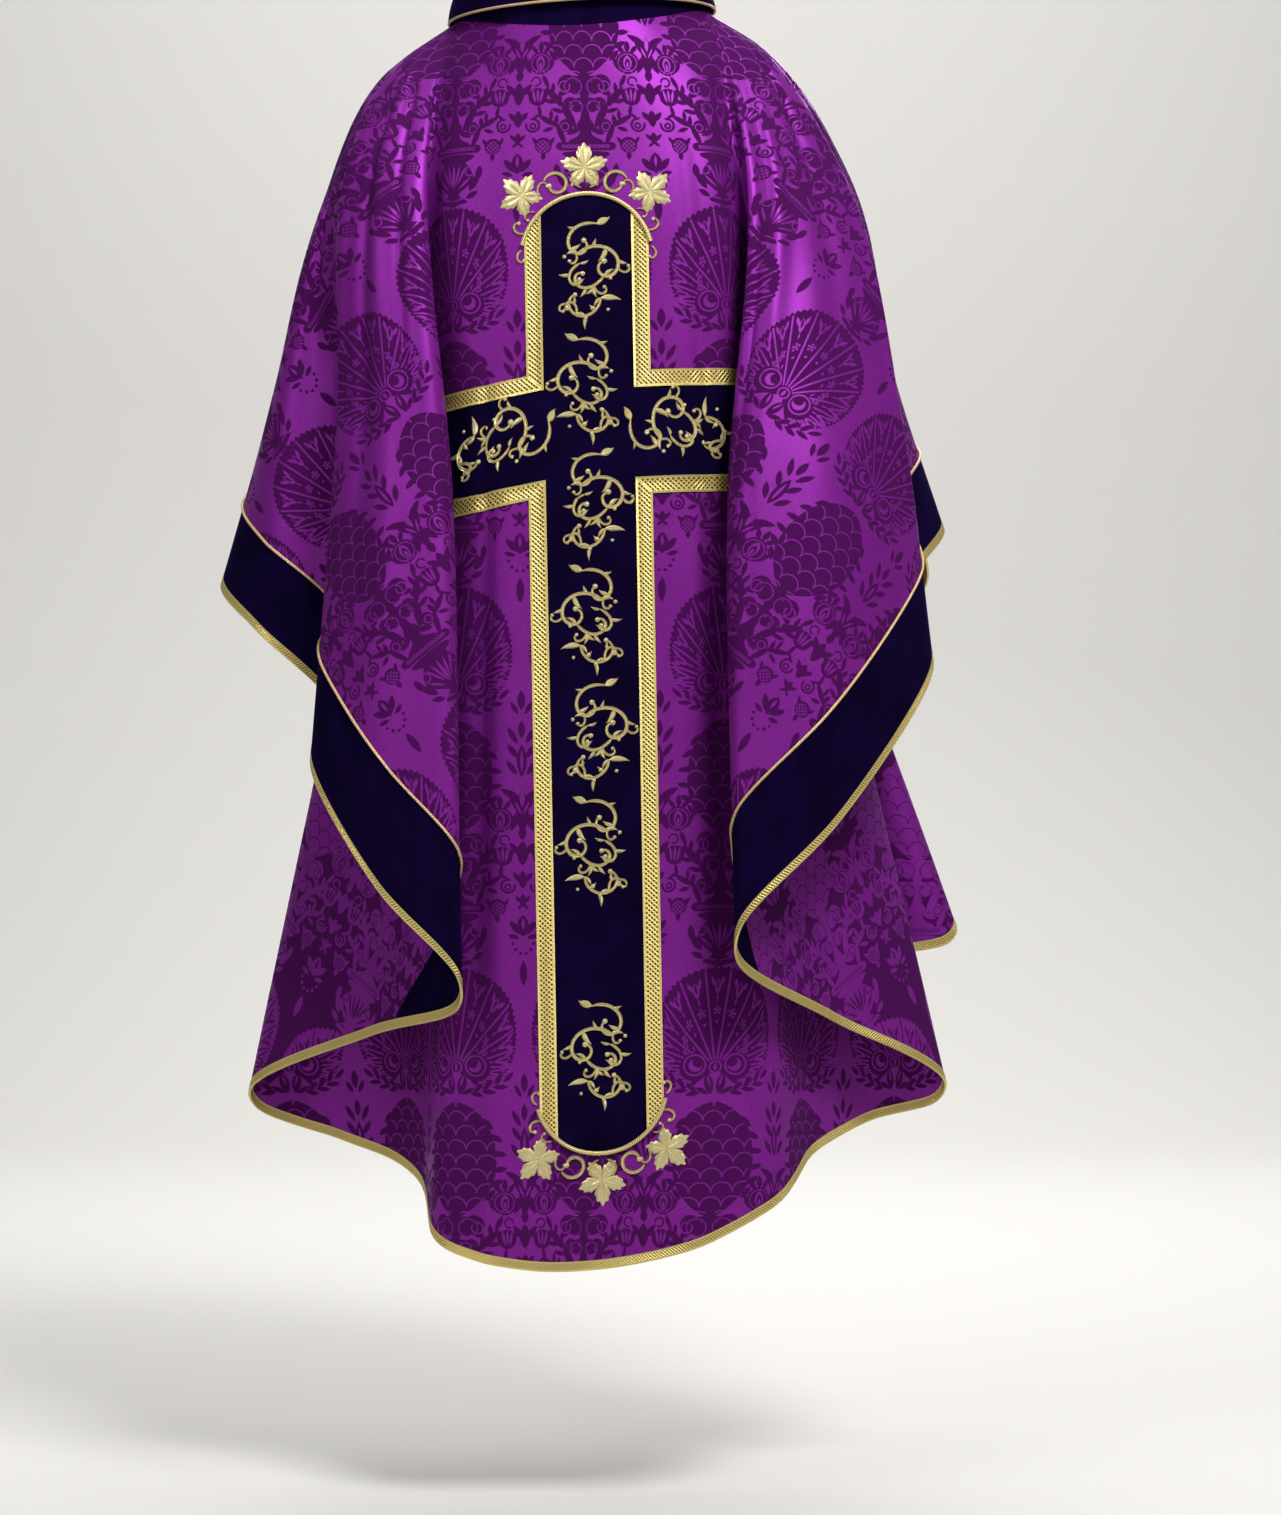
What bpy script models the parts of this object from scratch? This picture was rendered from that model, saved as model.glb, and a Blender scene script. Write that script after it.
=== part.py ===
# Chasuble worn by a standing figure, seen best from behind.
# The wearer faces +Y, the back faces -Y, +X is the wearer's right.
# The origin is the centre of the neck opening, at the height where the collar is sewn on.
# The cloth is one surface through fold lines that run from the neck, over the shoulders, down to the edge.

import math

import bmesh
import bpy
import numpy as np

MM = 0.001

# Sizes in millimetres
CLOTH_WALL = 2.0
VELVET_WALL = 1.6
GALLOON_WALL = 1.2
SEAM_GAP = 0.3
LAY_GAP = 0.8
NECK_HALF_WIDTH = 134.0
NECK_HALF_DEPTH = 101.0
NECK_BACK_Z = -34.0
NECK_SIDE_Z = -10.0
NECK_FRONT_Z = -52.0
NECK_TILT = 6.0
EDGE_GALLOON = 10.0
PIPING_RADIUS = 1.5
LEAST_BAND = 14.0
BAND_REACH = 10
BAND_ROWS = 4

# Front: the same folds turned over, on a cloth that hangs a little shorter over the lifted arms
LEVELS = ("yoke", "lift", "mid", "edge")
FRONT_SHIFT = dict(zip(LEVELS, (-5.0, 5.0, 55.0, 85.0)))
FRONT_LENGTH = dict(zip(LEVELS, (1.0, 1.0, 0.98, 0.855)))
FRONT_WIDTH = {-1: dict(zip(LEVELS, (1.0, 1.0, 0.96, 0.84))), 1: dict(zip(LEVELS, (1.0, 1.0, 1.0, 1.04)))}

# Fold lines of the wearer's left half, from the centre back to the seam along the arm.
# name, neck angle, then x, y, z where it leaves the yoke, lifts off the back, half way down
# and at the edge, then the width of the velvet band along it, and how far the fold is rounded
LEFT_FOLDS = (
    ("centre", 0, (3, -114, -100), (5, -125, -167), (10, -134, -525), (2, -145, -1313), 0, 0),
    ("panel", 27, (-67, -111, -98), (-70, -123, -166), (-74, -136, -526), (-78, -150, -1308), 0, 0),
    ("panel ridge", 46, (-106, -97, -92), (-112, -114, -165), (-121, -125, -525), (-146, -132, -1290), 0, 14),
    ("panel side", 57, (-126, -84, -86), (-134, -102, -163), (-156, -80, -522), (-171, -40, -1230), 0, 0),
    ("inner side", 64, (-136, -72, -80), (-145, -90, -161), (-195, -40, -520), (-257, 14, -1193), 0, 0),
    ("outer turn", 69, (-141, -62, -74), (-155, -84, -158), (-232, 2, -517), (-371, 2, -1150), 0, 30),
    ("reverse", 73, (-145, -56, -68), (-159, -88, -151), (-187, -80, -470), (-214, -128, -1074), -30, 0),
    ("front turn", 77, (-148, -52, -62), (-156, -108, -152), (-116, -182, -549), (-102, -222, -1034), 134, 26),
    ("sleeve fall", 81, (-166, -42, -56), (-190, -92, -141), (-192, -170, -477), (-200, -210, -925), 133, 0),
    ("sleeve side", 84, (-184, -36, -59), (-226, -64, -136), (-252, -112, -452), (-279, -132, -797), 114, 14),
    ("sleeve pleat", 86, (-191, -28, -62), (-243, -48, -146), (-243, -66, -416), (-256, -70, -734), 104, 14),
    ("arm back", 88, (-200, -18, -66), (-262, -34, -190), (-306, -44, -395), (-338, -42, -658), 93, 0),
    ("arm seam", 90, (-207, -6, -73), (-279, 6, -242), (-333, 20, -431), (-383, 30, -603), 90, 0),
)

# The same for the wearer's right half
RIGHT_FOLDS = (
    ("panel", 27, (68, -111, -97), (77, -123, -166), (102, -136, -526), (112, -150, -1291), 0, 0),
    ("panel ridge", 46, (114, -97, -88), (130, -114, -165), (159, -120, -525), (200, -122, -1251), 0, 14),
    ("panel side", 57, (130, -84, -80), (146, -100, -163), (184, -72, -522), (244, -50, -1204), 0, 0),
    ("inner side", 64, (137, -72, -72), (154, -90, -161), (206, -34, -519), (310, 20, -1172), 0, 0),
    ("outer turn", 69, (142, -62, -66), (160, -84, -158), (246, 6, -517), (406, 30, -1147), 0, 30),
    ("reverse", 73, (146, -56, -60), (166, -92, -152), (214, -88, -470), (262, -92, -1062), -210, 0),
    ("front turn", 77, (151, -52, -54), (172, -112, -168), (137, -192, -550), (143, -232, -981), 120, 26),
    ("sleeve fall", 82, (172, -42, -46), (220, -90, -168), (243, -182, -478), (258, -220, -857), 118, 0),
    ("sleeve side", 85, (186, -30, -45), (266, -44, -164), (334, -100, -450), (366, -98, -700), 104, 14),
    ("arm back", 88, (194, -18, -47), (276, -18, -172), (318, -34, -392), (346, -20, -610), 94, 0),
    ("arm seam", 90, (200, -6, -50), (286, 6, -192), (330, 30, -380), (387, 80, -541), 88, 0),
)

# Rows of the cloth between neck, yoke, lift, mid and edge, and columns between two fold lines
ROWS = (2, 2, 3, 4)
BACK_COLUMNS = 3
FRONT_COLUMNS = 2
UNDER_CROSS_COLUMNS = 4
TURN_COLUMNS = 2
UNDER_CROSS = ("panel", "panel ridge", "panel side")

# Collar
COLLAR_TOP_Z = 22.0
COLLAR_LEAN = 6.0
COLLAR_COLUMNS = 34
LEAF_GAP = 2.8
LEAF_OUT = 6.5
LEAF_BULGE = 1.0
LEAF_Z = -6.0
LEAF_TILT = 7.5
COLLAR_WALL = 2.4

# Orphrey cross on the back: where its arms cross, and how it leans with the cloth
CROSS_X = 10.0
CROSS_Z = -458.0
UPRIGHT_LEAN = 0.018
ARM_RISE = 0.035
FOOT_RISE = 0.055
LEFT_ARM_DROP = 0.17
ORPHREY_HALF = 46.0
UPRIGHT_POINTS = 6
UPRIGHT_ROWS = (7, 12)
BAR_ROWS = 4
GALLOON_ROWS = {1: 8, -1: 15}
GALLOON_WIDTH = 17.4
ARM_CLEAR = 5.0
END_GAP = 0.03
ARM_COLUMNS = 13
ARCH_UP = 178.0
ARCH_DOWN = -667.0
ARCH_RADIUS = 67.5
ARCH_START = 14.0
ARCH_STEPS = 17
CORD_RADIUS = 2.2

# Crest round each arch: leaves and scrolls, their places from the centre of the arch
# name, aside, outward, size, turn
CREST_WALL = 2.4
CREST_LEAVES = (("left", -65.5, 67.5, 24, 135), ("middle", -1, 94.5, 25, 90), ("right", 65.5, 67.5, 24, 45))
LEAF_LOBES = 5
LEAF_WAIST = 0.5
SCROLL_ASIDE = 30.0
SCROLL_OUT = 78.0
SCROLL_SIZE = 13.0
SCROLL_RADIUS = 2.0
SCROLL_TURNS = (20, 320)
SCROLL_CURL = 0.72
SCROLL_STEPS = 16

DAMASK = ("damask", (0.19, 0.015, 0.25), 0.45, 0.0)
VELVET = ("velvet", (0.012, 0.002, 0.09), 0.85, 0.0)
GOLD_LACE = ("gold lace", (0.58, 0.42, 0.10), 0.4, 0.5)
PALE_GOLD = ("pale gold", (0.70, 0.58, 0.30), 0.45, 0.3)
PIPING = ("piping", (0.66, 0.40, 0.25), 0.5, 0.2)


def clear_scene():
    for thing in list(bpy.data.objects):
        bpy.data.objects.remove(thing, do_unlink=True)


def material(look):
    name, colour, roughness, metallic = look
    made = bpy.data.materials.get(name) or bpy.data.materials.new(name)
    made.use_nodes = True
    shader = made.node_tree.nodes["Principled BSDF"]
    shader.inputs["Base Color"].default_value = (*colour, 1.0)
    shader.inputs["Roughness"].default_value = roughness
    shader.inputs["Metallic"].default_value = metallic
    return made


def neck_height(side, ahead):
    """Height of the neck seam; side and ahead are the sine and cosine of the turn from the centre back."""
    low = np.where(ahead > 0, NECK_BACK_Z, NECK_FRONT_Z)
    return low + (NECK_SIDE_Z - low) * side**2 + NECK_TILT * side


def fold_points(fold, side, half):
    """Neck, yoke, lift, mid and edge of one fold line. side is -1 on the wearer's left, half -1 behind."""
    name, degrees, *places, band, rounding = fold
    angle = math.radians(degrees)
    aside = side * math.sin(angle)
    ahead = -half * math.cos(angle)
    points = [(NECK_HALF_WIDTH * aside, -NECK_HALF_DEPTH * ahead, float(neck_height(aside, ahead)))]
    for level, (x, y, z) in zip(LEVELS, places):
        if half > 0 and name != "arm seam":
            x = x * FRONT_WIDTH[side][level]
            y = FRONT_SHIFT[level] - y
            z = z * FRONT_LENGTH[level]
        points.append((x, y, z))
    return points


def ring_of_folds():
    """All fold lines round the garment, from centre back by the left arm, the front and the right arm."""
    ring = [(fold, -1, -1) for fold in LEFT_FOLDS]
    ring += [(fold, -1, 1) for fold in LEFT_FOLDS[-2::-1] if fold[0] != "sleeve pleat"]
    ring += [(fold, 1, 1) for fold in RIGHT_FOLDS]
    ring += [(fold, 1, -1) for fold in RIGHT_FOLDS[-2::-1]]
    sharp = np.array([fold_points(*place) for place in ring], float)
    names, lines, bands = [], [], []
    for k, (fold, side, half) in enumerate(ring):
        beside = (sharp[k - 1], sharp[(k + 1) % len(ring)])
        for line in rounded(sharp[k], beside, fold[-1]):
            names.append(fold[0])
            lines.append(line)
            bands.append(fold[-2])
    return names, np.array(lines), np.array(bands, float)


def rounded(line, beside, size):
    """The fold line itself, or two lines at a distance from it that make its fold round."""
    if not size:
        return [line]
    made = []
    for other in beside:
        way = other - line
        apart = np.linalg.norm(way, axis=1, keepdims=True)
        made.append(line + way / apart * np.minimum(size, apart * 0.3))
    return made


FOLD_NAMES, FOLD_LINES, BANDS = ring_of_folds()
RING = len(FOLD_LINES)
LEFT_SEAM = FOLD_NAMES.index("arm seam")
RIGHT_SEAM = FOLD_NAMES.index("arm seam", LEFT_SEAM + 1)


def curve_between(before, start, end, after, part, power):
    """A smooth curve from start to end, whose turns ease with the distances to its neighbours."""
    part = part[..., None]
    first = np.maximum(np.linalg.norm(start - before, axis=-1), 1e-6)[..., None] ** power
    own = np.maximum(np.linalg.norm(end - start, axis=-1), 1e-6)[..., None] ** power
    last = np.maximum(np.linalg.norm(after - end, axis=-1), 1e-6)[..., None] ** power
    leave = end - start + own * ((start - before) / first - (end - before) / (first + own))
    arrive = end - start + own * ((after - end) / last - (after - start) / (own + last))
    bend = 2 * (start - end) + leave + arrive
    swing = -3 * (start - end) - 2 * leave - arrive
    return bend * part**3 + swing * part**2 + leave * part + start


def cloth(across, down):
    """Points of the cloth. across counts fold lines round the ring, down goes from 0 at the neck to 4."""
    across, down = np.broadcast_arrays(np.asarray(across, float), np.asarray(down, float))
    row = np.clip(np.floor(down).astype(int), 0, 3)
    levels = FOLD_LINES.swapaxes(0, 1)
    padded = np.concatenate([2 * levels[:1] - levels[1:2], levels, 2 * levels[-1:] - levels[-2:-1]])
    lines = np.moveaxis(padded, 1, 0)
    fold = np.floor(across).astype(int)
    near = []
    for step in (-1, 0, 1, 2):
        line = lines[(fold + step) % RING]
        picks = [np.take_along_axis(line, (row + k)[..., None, None], axis=-2)[..., 0, :] for k in range(4)]
        near.append(curve_between(*picks, down - row, 1.0))
    return curve_between(*near, across - fold, 0.6)


def outward(across, down):
    """The direction away from the wearer at points of the cloth."""
    step = 0.02
    low = np.clip(np.asarray(down, float) - step, 0, 4)
    high = np.clip(np.asarray(down, float) + step, 0, 4)
    sideways = cloth(np.asarray(across) + step, down) - cloth(np.asarray(across) - step, down)
    downward = cloth(across, high) - cloth(across, low)
    normal = np.cross(sideways, downward)
    return normal / np.linalg.norm(normal, axis=-1, keepdims=True)


def band_width(across):
    """Width of the velvet band along the fold direction, below zero where there is none."""
    across = np.asarray(across, float)
    fold = np.floor(across).astype(int)
    part = across - fold
    return BANDS[fold % RING] * (1 - part) + BANDS[(fold + 1) % RING] * part


def down_at(across, distance):
    """How far down a line lies, as a count of rows, for its distance from the edge."""
    across, distance = np.broadcast_arrays(np.asarray(across, float), np.asarray(distance, float))
    downs = np.linspace(3.0, 4.0, 41)
    lines = cloth(across[:, None], downs[None, :])
    steps = np.linalg.norm(np.diff(lines, axis=1), axis=-1)
    left = np.concatenate([np.cumsum(steps[:, ::-1], axis=1)[:, ::-1], np.zeros((len(across), 1))], axis=1)
    return np.array([np.interp(-d, -row, downs) for d, row in zip(distance, left)])


def columns(*stops):
    """Places round the ring through these stops, with columns on and evenly between the fold lines."""
    places = [stops[0]]
    for start, end in zip(stops, stops[1:]):
        for fold in range(math.floor(start), math.ceil(end)):
            each = columns_beside(fold % RING)
            inner = fold + np.arange(each) / each
            places += [place for place in inner if start + 0.06 < place < end - 0.06]
        places.append(end)
    return np.array(places)


def columns_beside(fold):
    """How many columns fill the cloth between this fold line and the next."""
    names = (FOLD_NAMES[fold], FOLD_NAMES[(fold + 1) % RING])
    if names[0] == names[1]:
        return TURN_COLUMNS
    if LEFT_SEAM <= fold < RIGHT_SEAM:
        return FRONT_COLUMNS
    return UNDER_CROSS_COLUMNS if all(name in UNDER_CROSS for name in names) else BACK_COLUMNS


def rows_down(counts):
    """Places down the cloth as parts of the whole, from 0 to 1."""
    places = [k + step / count for k, count in enumerate(counts) for step in range(count)]
    return np.array(places + [4.0]) / 4.0


def sheet(name, points, normals, look, wall):
    """A cloth piece: squares through a table of points, with half its wall on either side."""
    faces = grid_faces(0, *points.shape[:2])
    return slab(name, points.reshape(-1, 3), normals.reshape(-1, 3), faces, look, wall)


def slab(name, points, normals, faces, look, wall):
    """A closed wall round a net of faces: the net moved out, the net moved in, and rims on its free edges."""
    made = bmesh.new()
    outer = [made.verts.new(point * MM) for point in points + normals * wall / 2]
    inner = [made.verts.new(point * MM) for point in points - normals * wall / 2]
    free = set()
    for face in split(points, faces):
        made.faces.new([outer[k] for k in face])
        made.faces.new([inner[k] for k in reversed(face)])
        for edge in zip(face, face[1:] + face[:1]):
            if edge[::-1] in free:
                free.remove(edge[::-1])
            else:
                free.add(edge)
    for low, high in sorted({tuple(sorted(edge)) for edge in free}):
        made.faces.new((outer[low], outer[high], inner[high]))
        made.faces.new((outer[low], inner[high], inner[low]))
    bmesh.ops.recalc_face_normals(made, faces=made.faces)
    return finished(name, made, look)


def split(points, faces):
    """Triangles for a net of squares, each cut along its shorter diagonal."""
    triangles = []
    for face in faces:
        if len(face) == 3:
            triangles.append(face)
            continue
        a, b, c, d = face
        if np.linalg.norm(points[a] - points[c]) <= np.linalg.norm(points[b] - points[d]):
            triangles += [(a, b, c), (a, c, d)]
        else:
            triangles += [(a, b, d), (b, c, d)]
    return triangles


def finished(name, made, look):
    mesh = bpy.data.meshes.new(name)
    made.to_mesh(mesh)
    made.free()
    thing = bpy.data.objects.new(name, mesh)
    bpy.context.scene.collection.objects.link(thing)
    mesh.materials.append(material(look))
    mesh.shade_smooth()
    mesh.set_sharp_from_angle(angle=math.radians(50))
    return thing


def tube(name, points, radius, look, sides=5, closed=False):
    """A cord through the points, with flat ends unless it closes on itself."""
    count = len(points)
    ahead = np.roll(points, -1, axis=0) - np.roll(points, 1, axis=0)
    if not closed:
        ahead[0], ahead[-1] = points[1] - points[0], points[-1] - points[-2]
    ahead /= np.linalg.norm(ahead, axis=1, keepdims=True)
    out = points - points.mean(axis=0)
    out -= (out * ahead).sum(axis=1, keepdims=True) * ahead
    out /= np.linalg.norm(out, axis=1, keepdims=True)
    beside = np.cross(ahead, out)
    made = bmesh.new()
    rings = []
    for point, u, v in zip(points, out, beside):
        angles = [2 * math.pi * k / sides for k in range(sides)]
        rings.append([made.verts.new((point + radius * (math.cos(a) * u + math.sin(a) * v)) * MM) for a in angles])
    for i in range(count if closed else count - 1):
        a, b = rings[i], rings[(i + 1) % count]
        for k in range(sides):
            made.faces.new((a[k], a[(k + 1) % sides], b[(k + 1) % sides], b[k]))
    if not closed:
        made.faces.new(rings[0][::-1])
        made.faces.new(rings[-1])
    bmesh.ops.recalc_face_normals(made, faces=made.faces)
    return finished(name, made, look)


def parted(points):
    """Moves the first and last columns in by half a seam gap."""
    ways = (points[:, 1] - points[:, 0], points[:, -2] - points[:, -1])
    for column, way in zip((0, -1), ways):
        points[:, column] += way / np.linalg.norm(way, axis=1, keepdims=True) * SEAM_GAP / 2
    return points


def panel(name, stops):
    """A damask panel between two seams, from the neck to the band or to the edge galloon."""
    across = columns(*stops)
    band = band_width(across)
    stop = np.where(band > LEAST_BAND, band, EDGE_GALLOON)
    last = down_at(across, stop + SEAM_GAP / 2)
    parts = rows_down(ROWS)
    down = parts[:, None] * last[None, :]
    sheet(name, parted(cloth(across[None, :], down)), outward(across[None, :], down), DAMASK, CLOTH_WALL)


def band_limits(side):
    """Where the velvet band begins on the back and ends on the front, as places round the ring."""
    seam = LEFT_SEAM if side < 0 else RIGHT_SEAM
    fine = np.linspace(seam - BAND_REACH, seam + BAND_REACH, 4001)
    broad = fine[band_width(fine) > LEAST_BAND]
    return broad[0], broad[-1]


def sleeve_band(name, stops):
    across = columns(*stops)
    top = down_at(across, band_width(across) - SEAM_GAP / 2)
    low = down_at(across, np.full(len(across), EDGE_GALLOON + SEAM_GAP / 2))
    parts = np.linspace(0, 1, BAND_ROWS)[:, None]
    down = top[None, :] * (1 - parts) + low[None, :] * parts
    sheet(name, cloth(across[None, :], down), outward(across[None, :], down), VELVET, CLOTH_WALL)


def band_piping(name, stops):
    """The cord on the seam between damask and velvet, on the outer face."""
    across = columns(*stops)
    down = down_at(across, band_width(across))
    lift = CLOTH_WALL / 2 + SEAM_GAP + PIPING_RADIUS
    tube(name, cloth(across, down) + lift * outward(across, down), PIPING_RADIUS, PIPING)


def edge_galloon(name, stops):
    """The narrow gold lace folded over the edge."""
    across = columns(*stops)
    top = down_at(across, np.full(len(across), EDGE_GALLOON - SEAM_GAP / 2))
    down = np.array([top, np.full(len(across), 4.0)])
    sheet(name, parted(cloth(across[None, :], down)), outward(across[None, :], down), GOLD_LACE, CLOTH_WALL)


def collar():
    """Velvet stand on the neck seam, its leaf turned down outside it, and the cord on the leaf's edge."""
    turns = np.linspace(0, 2 * math.pi, COLLAR_COLUMNS + 1)[:-1]
    side, ahead = -np.sin(turns), np.cos(turns)
    seam_z = neck_height(side, ahead) + SEAM_GAP + CLOTH_WALL / 2
    dip = np.where(ahead < 0, (NECK_FRONT_Z - NECK_BACK_Z) * ahead**2, 0)
    leaf_z = LEAF_Z + LEAF_TILT * side + dip
    top_z = COLLAR_TOP_Z + dip

    def ring(out, height):
        return np.stack([(NECK_HALF_WIDTH + out) * side, -(NECK_HALF_DEPTH + out) * ahead, height], axis=1)

    top_out = LEAF_GAP - COLLAR_LEAN
    stand = [ring(-COLLAR_LEAN * part, seam_z + (top_z - seam_z) * part) for part in (0, 0.5, 1)]
    bulge = [(top_out, 0), ((top_out + LEAF_OUT) / 2 + LEAF_BULGE, 0.5), (LEAF_OUT, 1)]
    leaf = [ring(out, top_z + (leaf_z - top_z) * part) for out, part in bulge]
    round_wall("collar_stand", stand, 1)
    round_wall("collar_leaf", leaf, -1)
    drop = COLLAR_WALL / 2 + SEAM_GAP + PIPING_RADIUS
    tube("collar_piping", ring(LEAF_OUT, leaf_z - drop), PIPING_RADIUS, PIPING, closed=True)


def round_wall(name, rings, up):
    """A velvet wall that closes on itself round the neck, through level rings."""
    points = np.array(rings)
    sideways = np.roll(points, -1, axis=1) - np.roll(points, 1, axis=1)
    normals = up * np.cross(np.gradient(points, axis=0), sideways)
    normals /= np.linalg.norm(normals, axis=-1, keepdims=True)
    count = points.shape[1]
    faces = []
    for i in range(len(rings) - 1):
        for j in range(count):
            k = (j + 1) % count
            faces.append((i * count + j, i * count + k, (i + 1) * count + k, (i + 1) * count + j))
    slab(name, points.reshape(-1, 3), normals.reshape(-1, 3), faces, VELVET, COLLAR_WALL)


def cross_rise(aside, up):
    """How far a level line of the cross rises or drops to its side, with the hang of the cloth."""
    rise = ARM_RISE + FOOT_RISE * np.clip(up / ARCH_DOWN, 0, 1)
    drop = LEFT_ARM_DROP * np.clip(-aside - ORPHREY_HALF, 0, None) * (np.abs(up) < 2 * ORPHREY_HALF)
    return rise * aside - drop


def on_cross(aside, up):
    """Sizes measured on the cross, turned to x and z on the back."""
    return CROSS_X + aside - UPRIGHT_LEAN * up, CROSS_Z + up + cross_rise(aside, up)


def on_column(across, up):
    """How far down the columns at these places the cross has this height."""
    down = np.full(np.broadcast(across, up).shape, 2.8)
    step = 0.01
    for _ in range(12):
        here = cloth(across, down)
        slope = (cloth(across, down + step) - here)[..., 2] / step
        aside = here[..., 0] - CROSS_X + UPRIGHT_LEAN * up
        down = np.clip(down + (CROSS_Z + up + cross_rise(aside, up) - here[..., 2]) / slope, 1.0, 4.0)
    return down


def arm_columns(sign, past):
    """The panel's columns that lie past this size from the middle of the cross, in order outwards."""
    steps = columns(0, ARM_COLUMNS) if sign < 0 else columns(-ARM_COLUMNS, 0)[::-1]
    steps = steps[: ARM_COLUMNS + 1]
    aside = sign * (cloth(steps, on_column(steps, 0.0))[:, 0] - CROSS_X)
    return steps[aside > past + ARM_CLEAR]


def on_back(x, z):
    """Places on the back, across and down, that lie at x and z."""
    x, z = np.broadcast_arrays(np.asarray(x, float), np.asarray(z, float))
    across = np.interp(-x, [-200, 0, 146], [-2.5, 0, 2.5])
    down = np.interp(-z, [100, 167, 525, 1313], [1, 2, 3, 4])
    step = 0.01
    for _ in range(14):
        here = cloth(across, down)
        by_across = (cloth(across + step, down) - here) / step
        by_down = (cloth(across, down + step) - here) / step
        miss_x, miss_z = x - here[..., 0], z - here[..., 2]
        scale = by_across[..., 0] * by_down[..., 2] - by_down[..., 0] * by_across[..., 2]
        across = across + (miss_x * by_down[..., 2] - miss_z * by_down[..., 0]) / scale
        down = down + (miss_z * by_across[..., 0] - miss_x * by_across[..., 2]) / scale
        across = np.clip(across, -4.5, 4.5)
        down = np.clip(down, 0.2, 4.0)
    return across, down


def laid(aside, up, lift):
    """Points over the damask at sizes measured on the cross, and the way out from it there."""
    return moved_out(*on_back(*on_cross(np.asarray(aside, float), np.asarray(up, float))), lift)


def moved_out(across, down, lift):
    normals = outward(across, down)
    return on_panel(across, down) + lift * normals, normals


def on_panel(across, down):
    """Points of the panel's own facets, which run straight from row to row."""
    across, down = np.broadcast_arrays(across, down)
    last = down_at(across.ravel(), EDGE_GALLOON + SEAM_GAP / 2).reshape(across.shape)
    parts = rows_down(ROWS)
    row = np.clip(np.searchsorted(parts, down / last, side="right") - 1, 0, len(parts) - 2)
    above, below = parts[row] * last, parts[row + 1] * last
    mix = ((down - above) / (below - above))[..., None]
    return cloth(across, above) * (1 - mix) + cloth(across, below) * mix


def joined(first, second, axis):
    """Two tables of points and directions made one."""
    return tuple(np.concatenate(pair, axis=axis) for pair in zip(first, second))


def arch_height(aside, radius):
    """Height of a round arch of this radius above its centre."""
    return np.sqrt(np.maximum(radius**2 - np.asarray(aside, float) ** 2, 0))


def orphrey_velvet():
    """The velvet cross with its round ends, one piece laid on the damask."""
    lift = CLOTH_WALL / 2 + LAY_GAP + VELVET_WALL / 2
    across = np.linspace(-ORPHREY_HALF, ORPHREY_HALF, UPRIGHT_POINTS)
    bar = np.linspace(ORPHREY_HALF, -ORPHREY_HALF, BAR_ROWS)
    above = np.linspace(1, 0, UPRIGHT_ROWS[0] + 1)[:-1]
    below = np.linspace(0, 1, UPRIGHT_ROWS[1] + 1)[1:]
    arch = arch_height(across, ARCH_RADIUS - CORD_RADIUS - SEAM_GAP)
    ups = [bar[0] + (ARCH_UP + arch - bar[0]) * part for part in above]
    ups += [np.full(UPRIGHT_POINTS, height) for height in bar]
    ups += [bar[-1] + (ARCH_DOWN - arch - bar[-1]) * part for part in below]
    table = np.stack([np.tile(across, (len(ups), 1)), np.array(ups)], axis=-1).reshape(-1, 2)
    net = laid(table[:, 0], table[:, 1], lift)
    faces = grid_faces(0, len(ups), UPRIGHT_POINTS)
    for sign, column in ((-1, 0), (1, UPRIGHT_POINTS - 1)):
        first = len(net[0])
        lines = arm_columns(sign, ORPHREY_HALF)
        places, heights = np.meshgrid(lines, bar)
        arm = moved_out(places, on_column(places, heights), lift)
        net = joined(net, [part.reshape(-1, 3) for part in arm], 0)
        arm_faces = grid_faces(first, len(bar), len(lines))
        for k in range(len(bar) - 1):
            near = (len(above) + k) * UPRIGHT_POINTS + column
            far = first + k * len(lines)
            arm_faces.append((near, far, far + len(lines), near + UPRIGHT_POINTS))
        faces += [face[::sign] for face in arm_faces]
    slab("orphrey_velvet", *net, faces, VELVET, VELVET_WALL)


def grid_faces(first, rows, cols):
    corners = [first + i * cols + j for i in range(rows - 1) for j in range(cols - 1)]
    return [(corner, corner + 1, corner + cols + 1, corner + cols) for corner in corners]


def orphrey_galloon(name, sign, way):
    """Gold lace along one corner of the cross: along the upright, then out along the arm."""
    lift = CLOTH_WALL / 2 + LAY_GAP + GALLOON_WALL / 2
    near = ORPHREY_HALF + SEAM_GAP
    lines = np.array([near, near + GALLOON_WIDTH])
    base = ARCH_UP if way > 0 else -ARCH_DOWN
    table = []
    for out in lines:
        end = base + arch_height(out, ARCH_RADIUS - CORD_RADIUS - SEAM_GAP)
        table.append([(out, height) for height in np.linspace(end, out, GALLOON_ROWS[way])])
    table = np.array(table)
    upright = laid(sign * table[..., 0], way * table[..., 1], lift)
    places, heights = np.meshgrid(arm_columns(sign, near + GALLOON_WIDTH), way * lines)
    arm = moved_out(places, on_column(places, heights), lift)
    sheet(name, *joined(upright, arm, 1), GOLD_LACE, GALLOON_WALL)


def orphrey_end(name, sign):
    """Gold lace that closes the end of one arm, under the folds."""
    lift = CLOTH_WALL / 2 + LAY_GAP + GALLOON_WALL / 2
    start = arm_columns(sign, ORPHREY_HALF)[-1]
    step = -sign / BACK_COLUMNS
    high = ORPHREY_HALF + GALLOON_WIDTH
    places, heights = np.meshgrid((start + END_GAP * step, start + step), np.linspace(-high, high, 5))
    sheet(name, *moved_out(places, on_column(places, heights), lift), GOLD_LACE, GALLOON_WALL)


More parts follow.
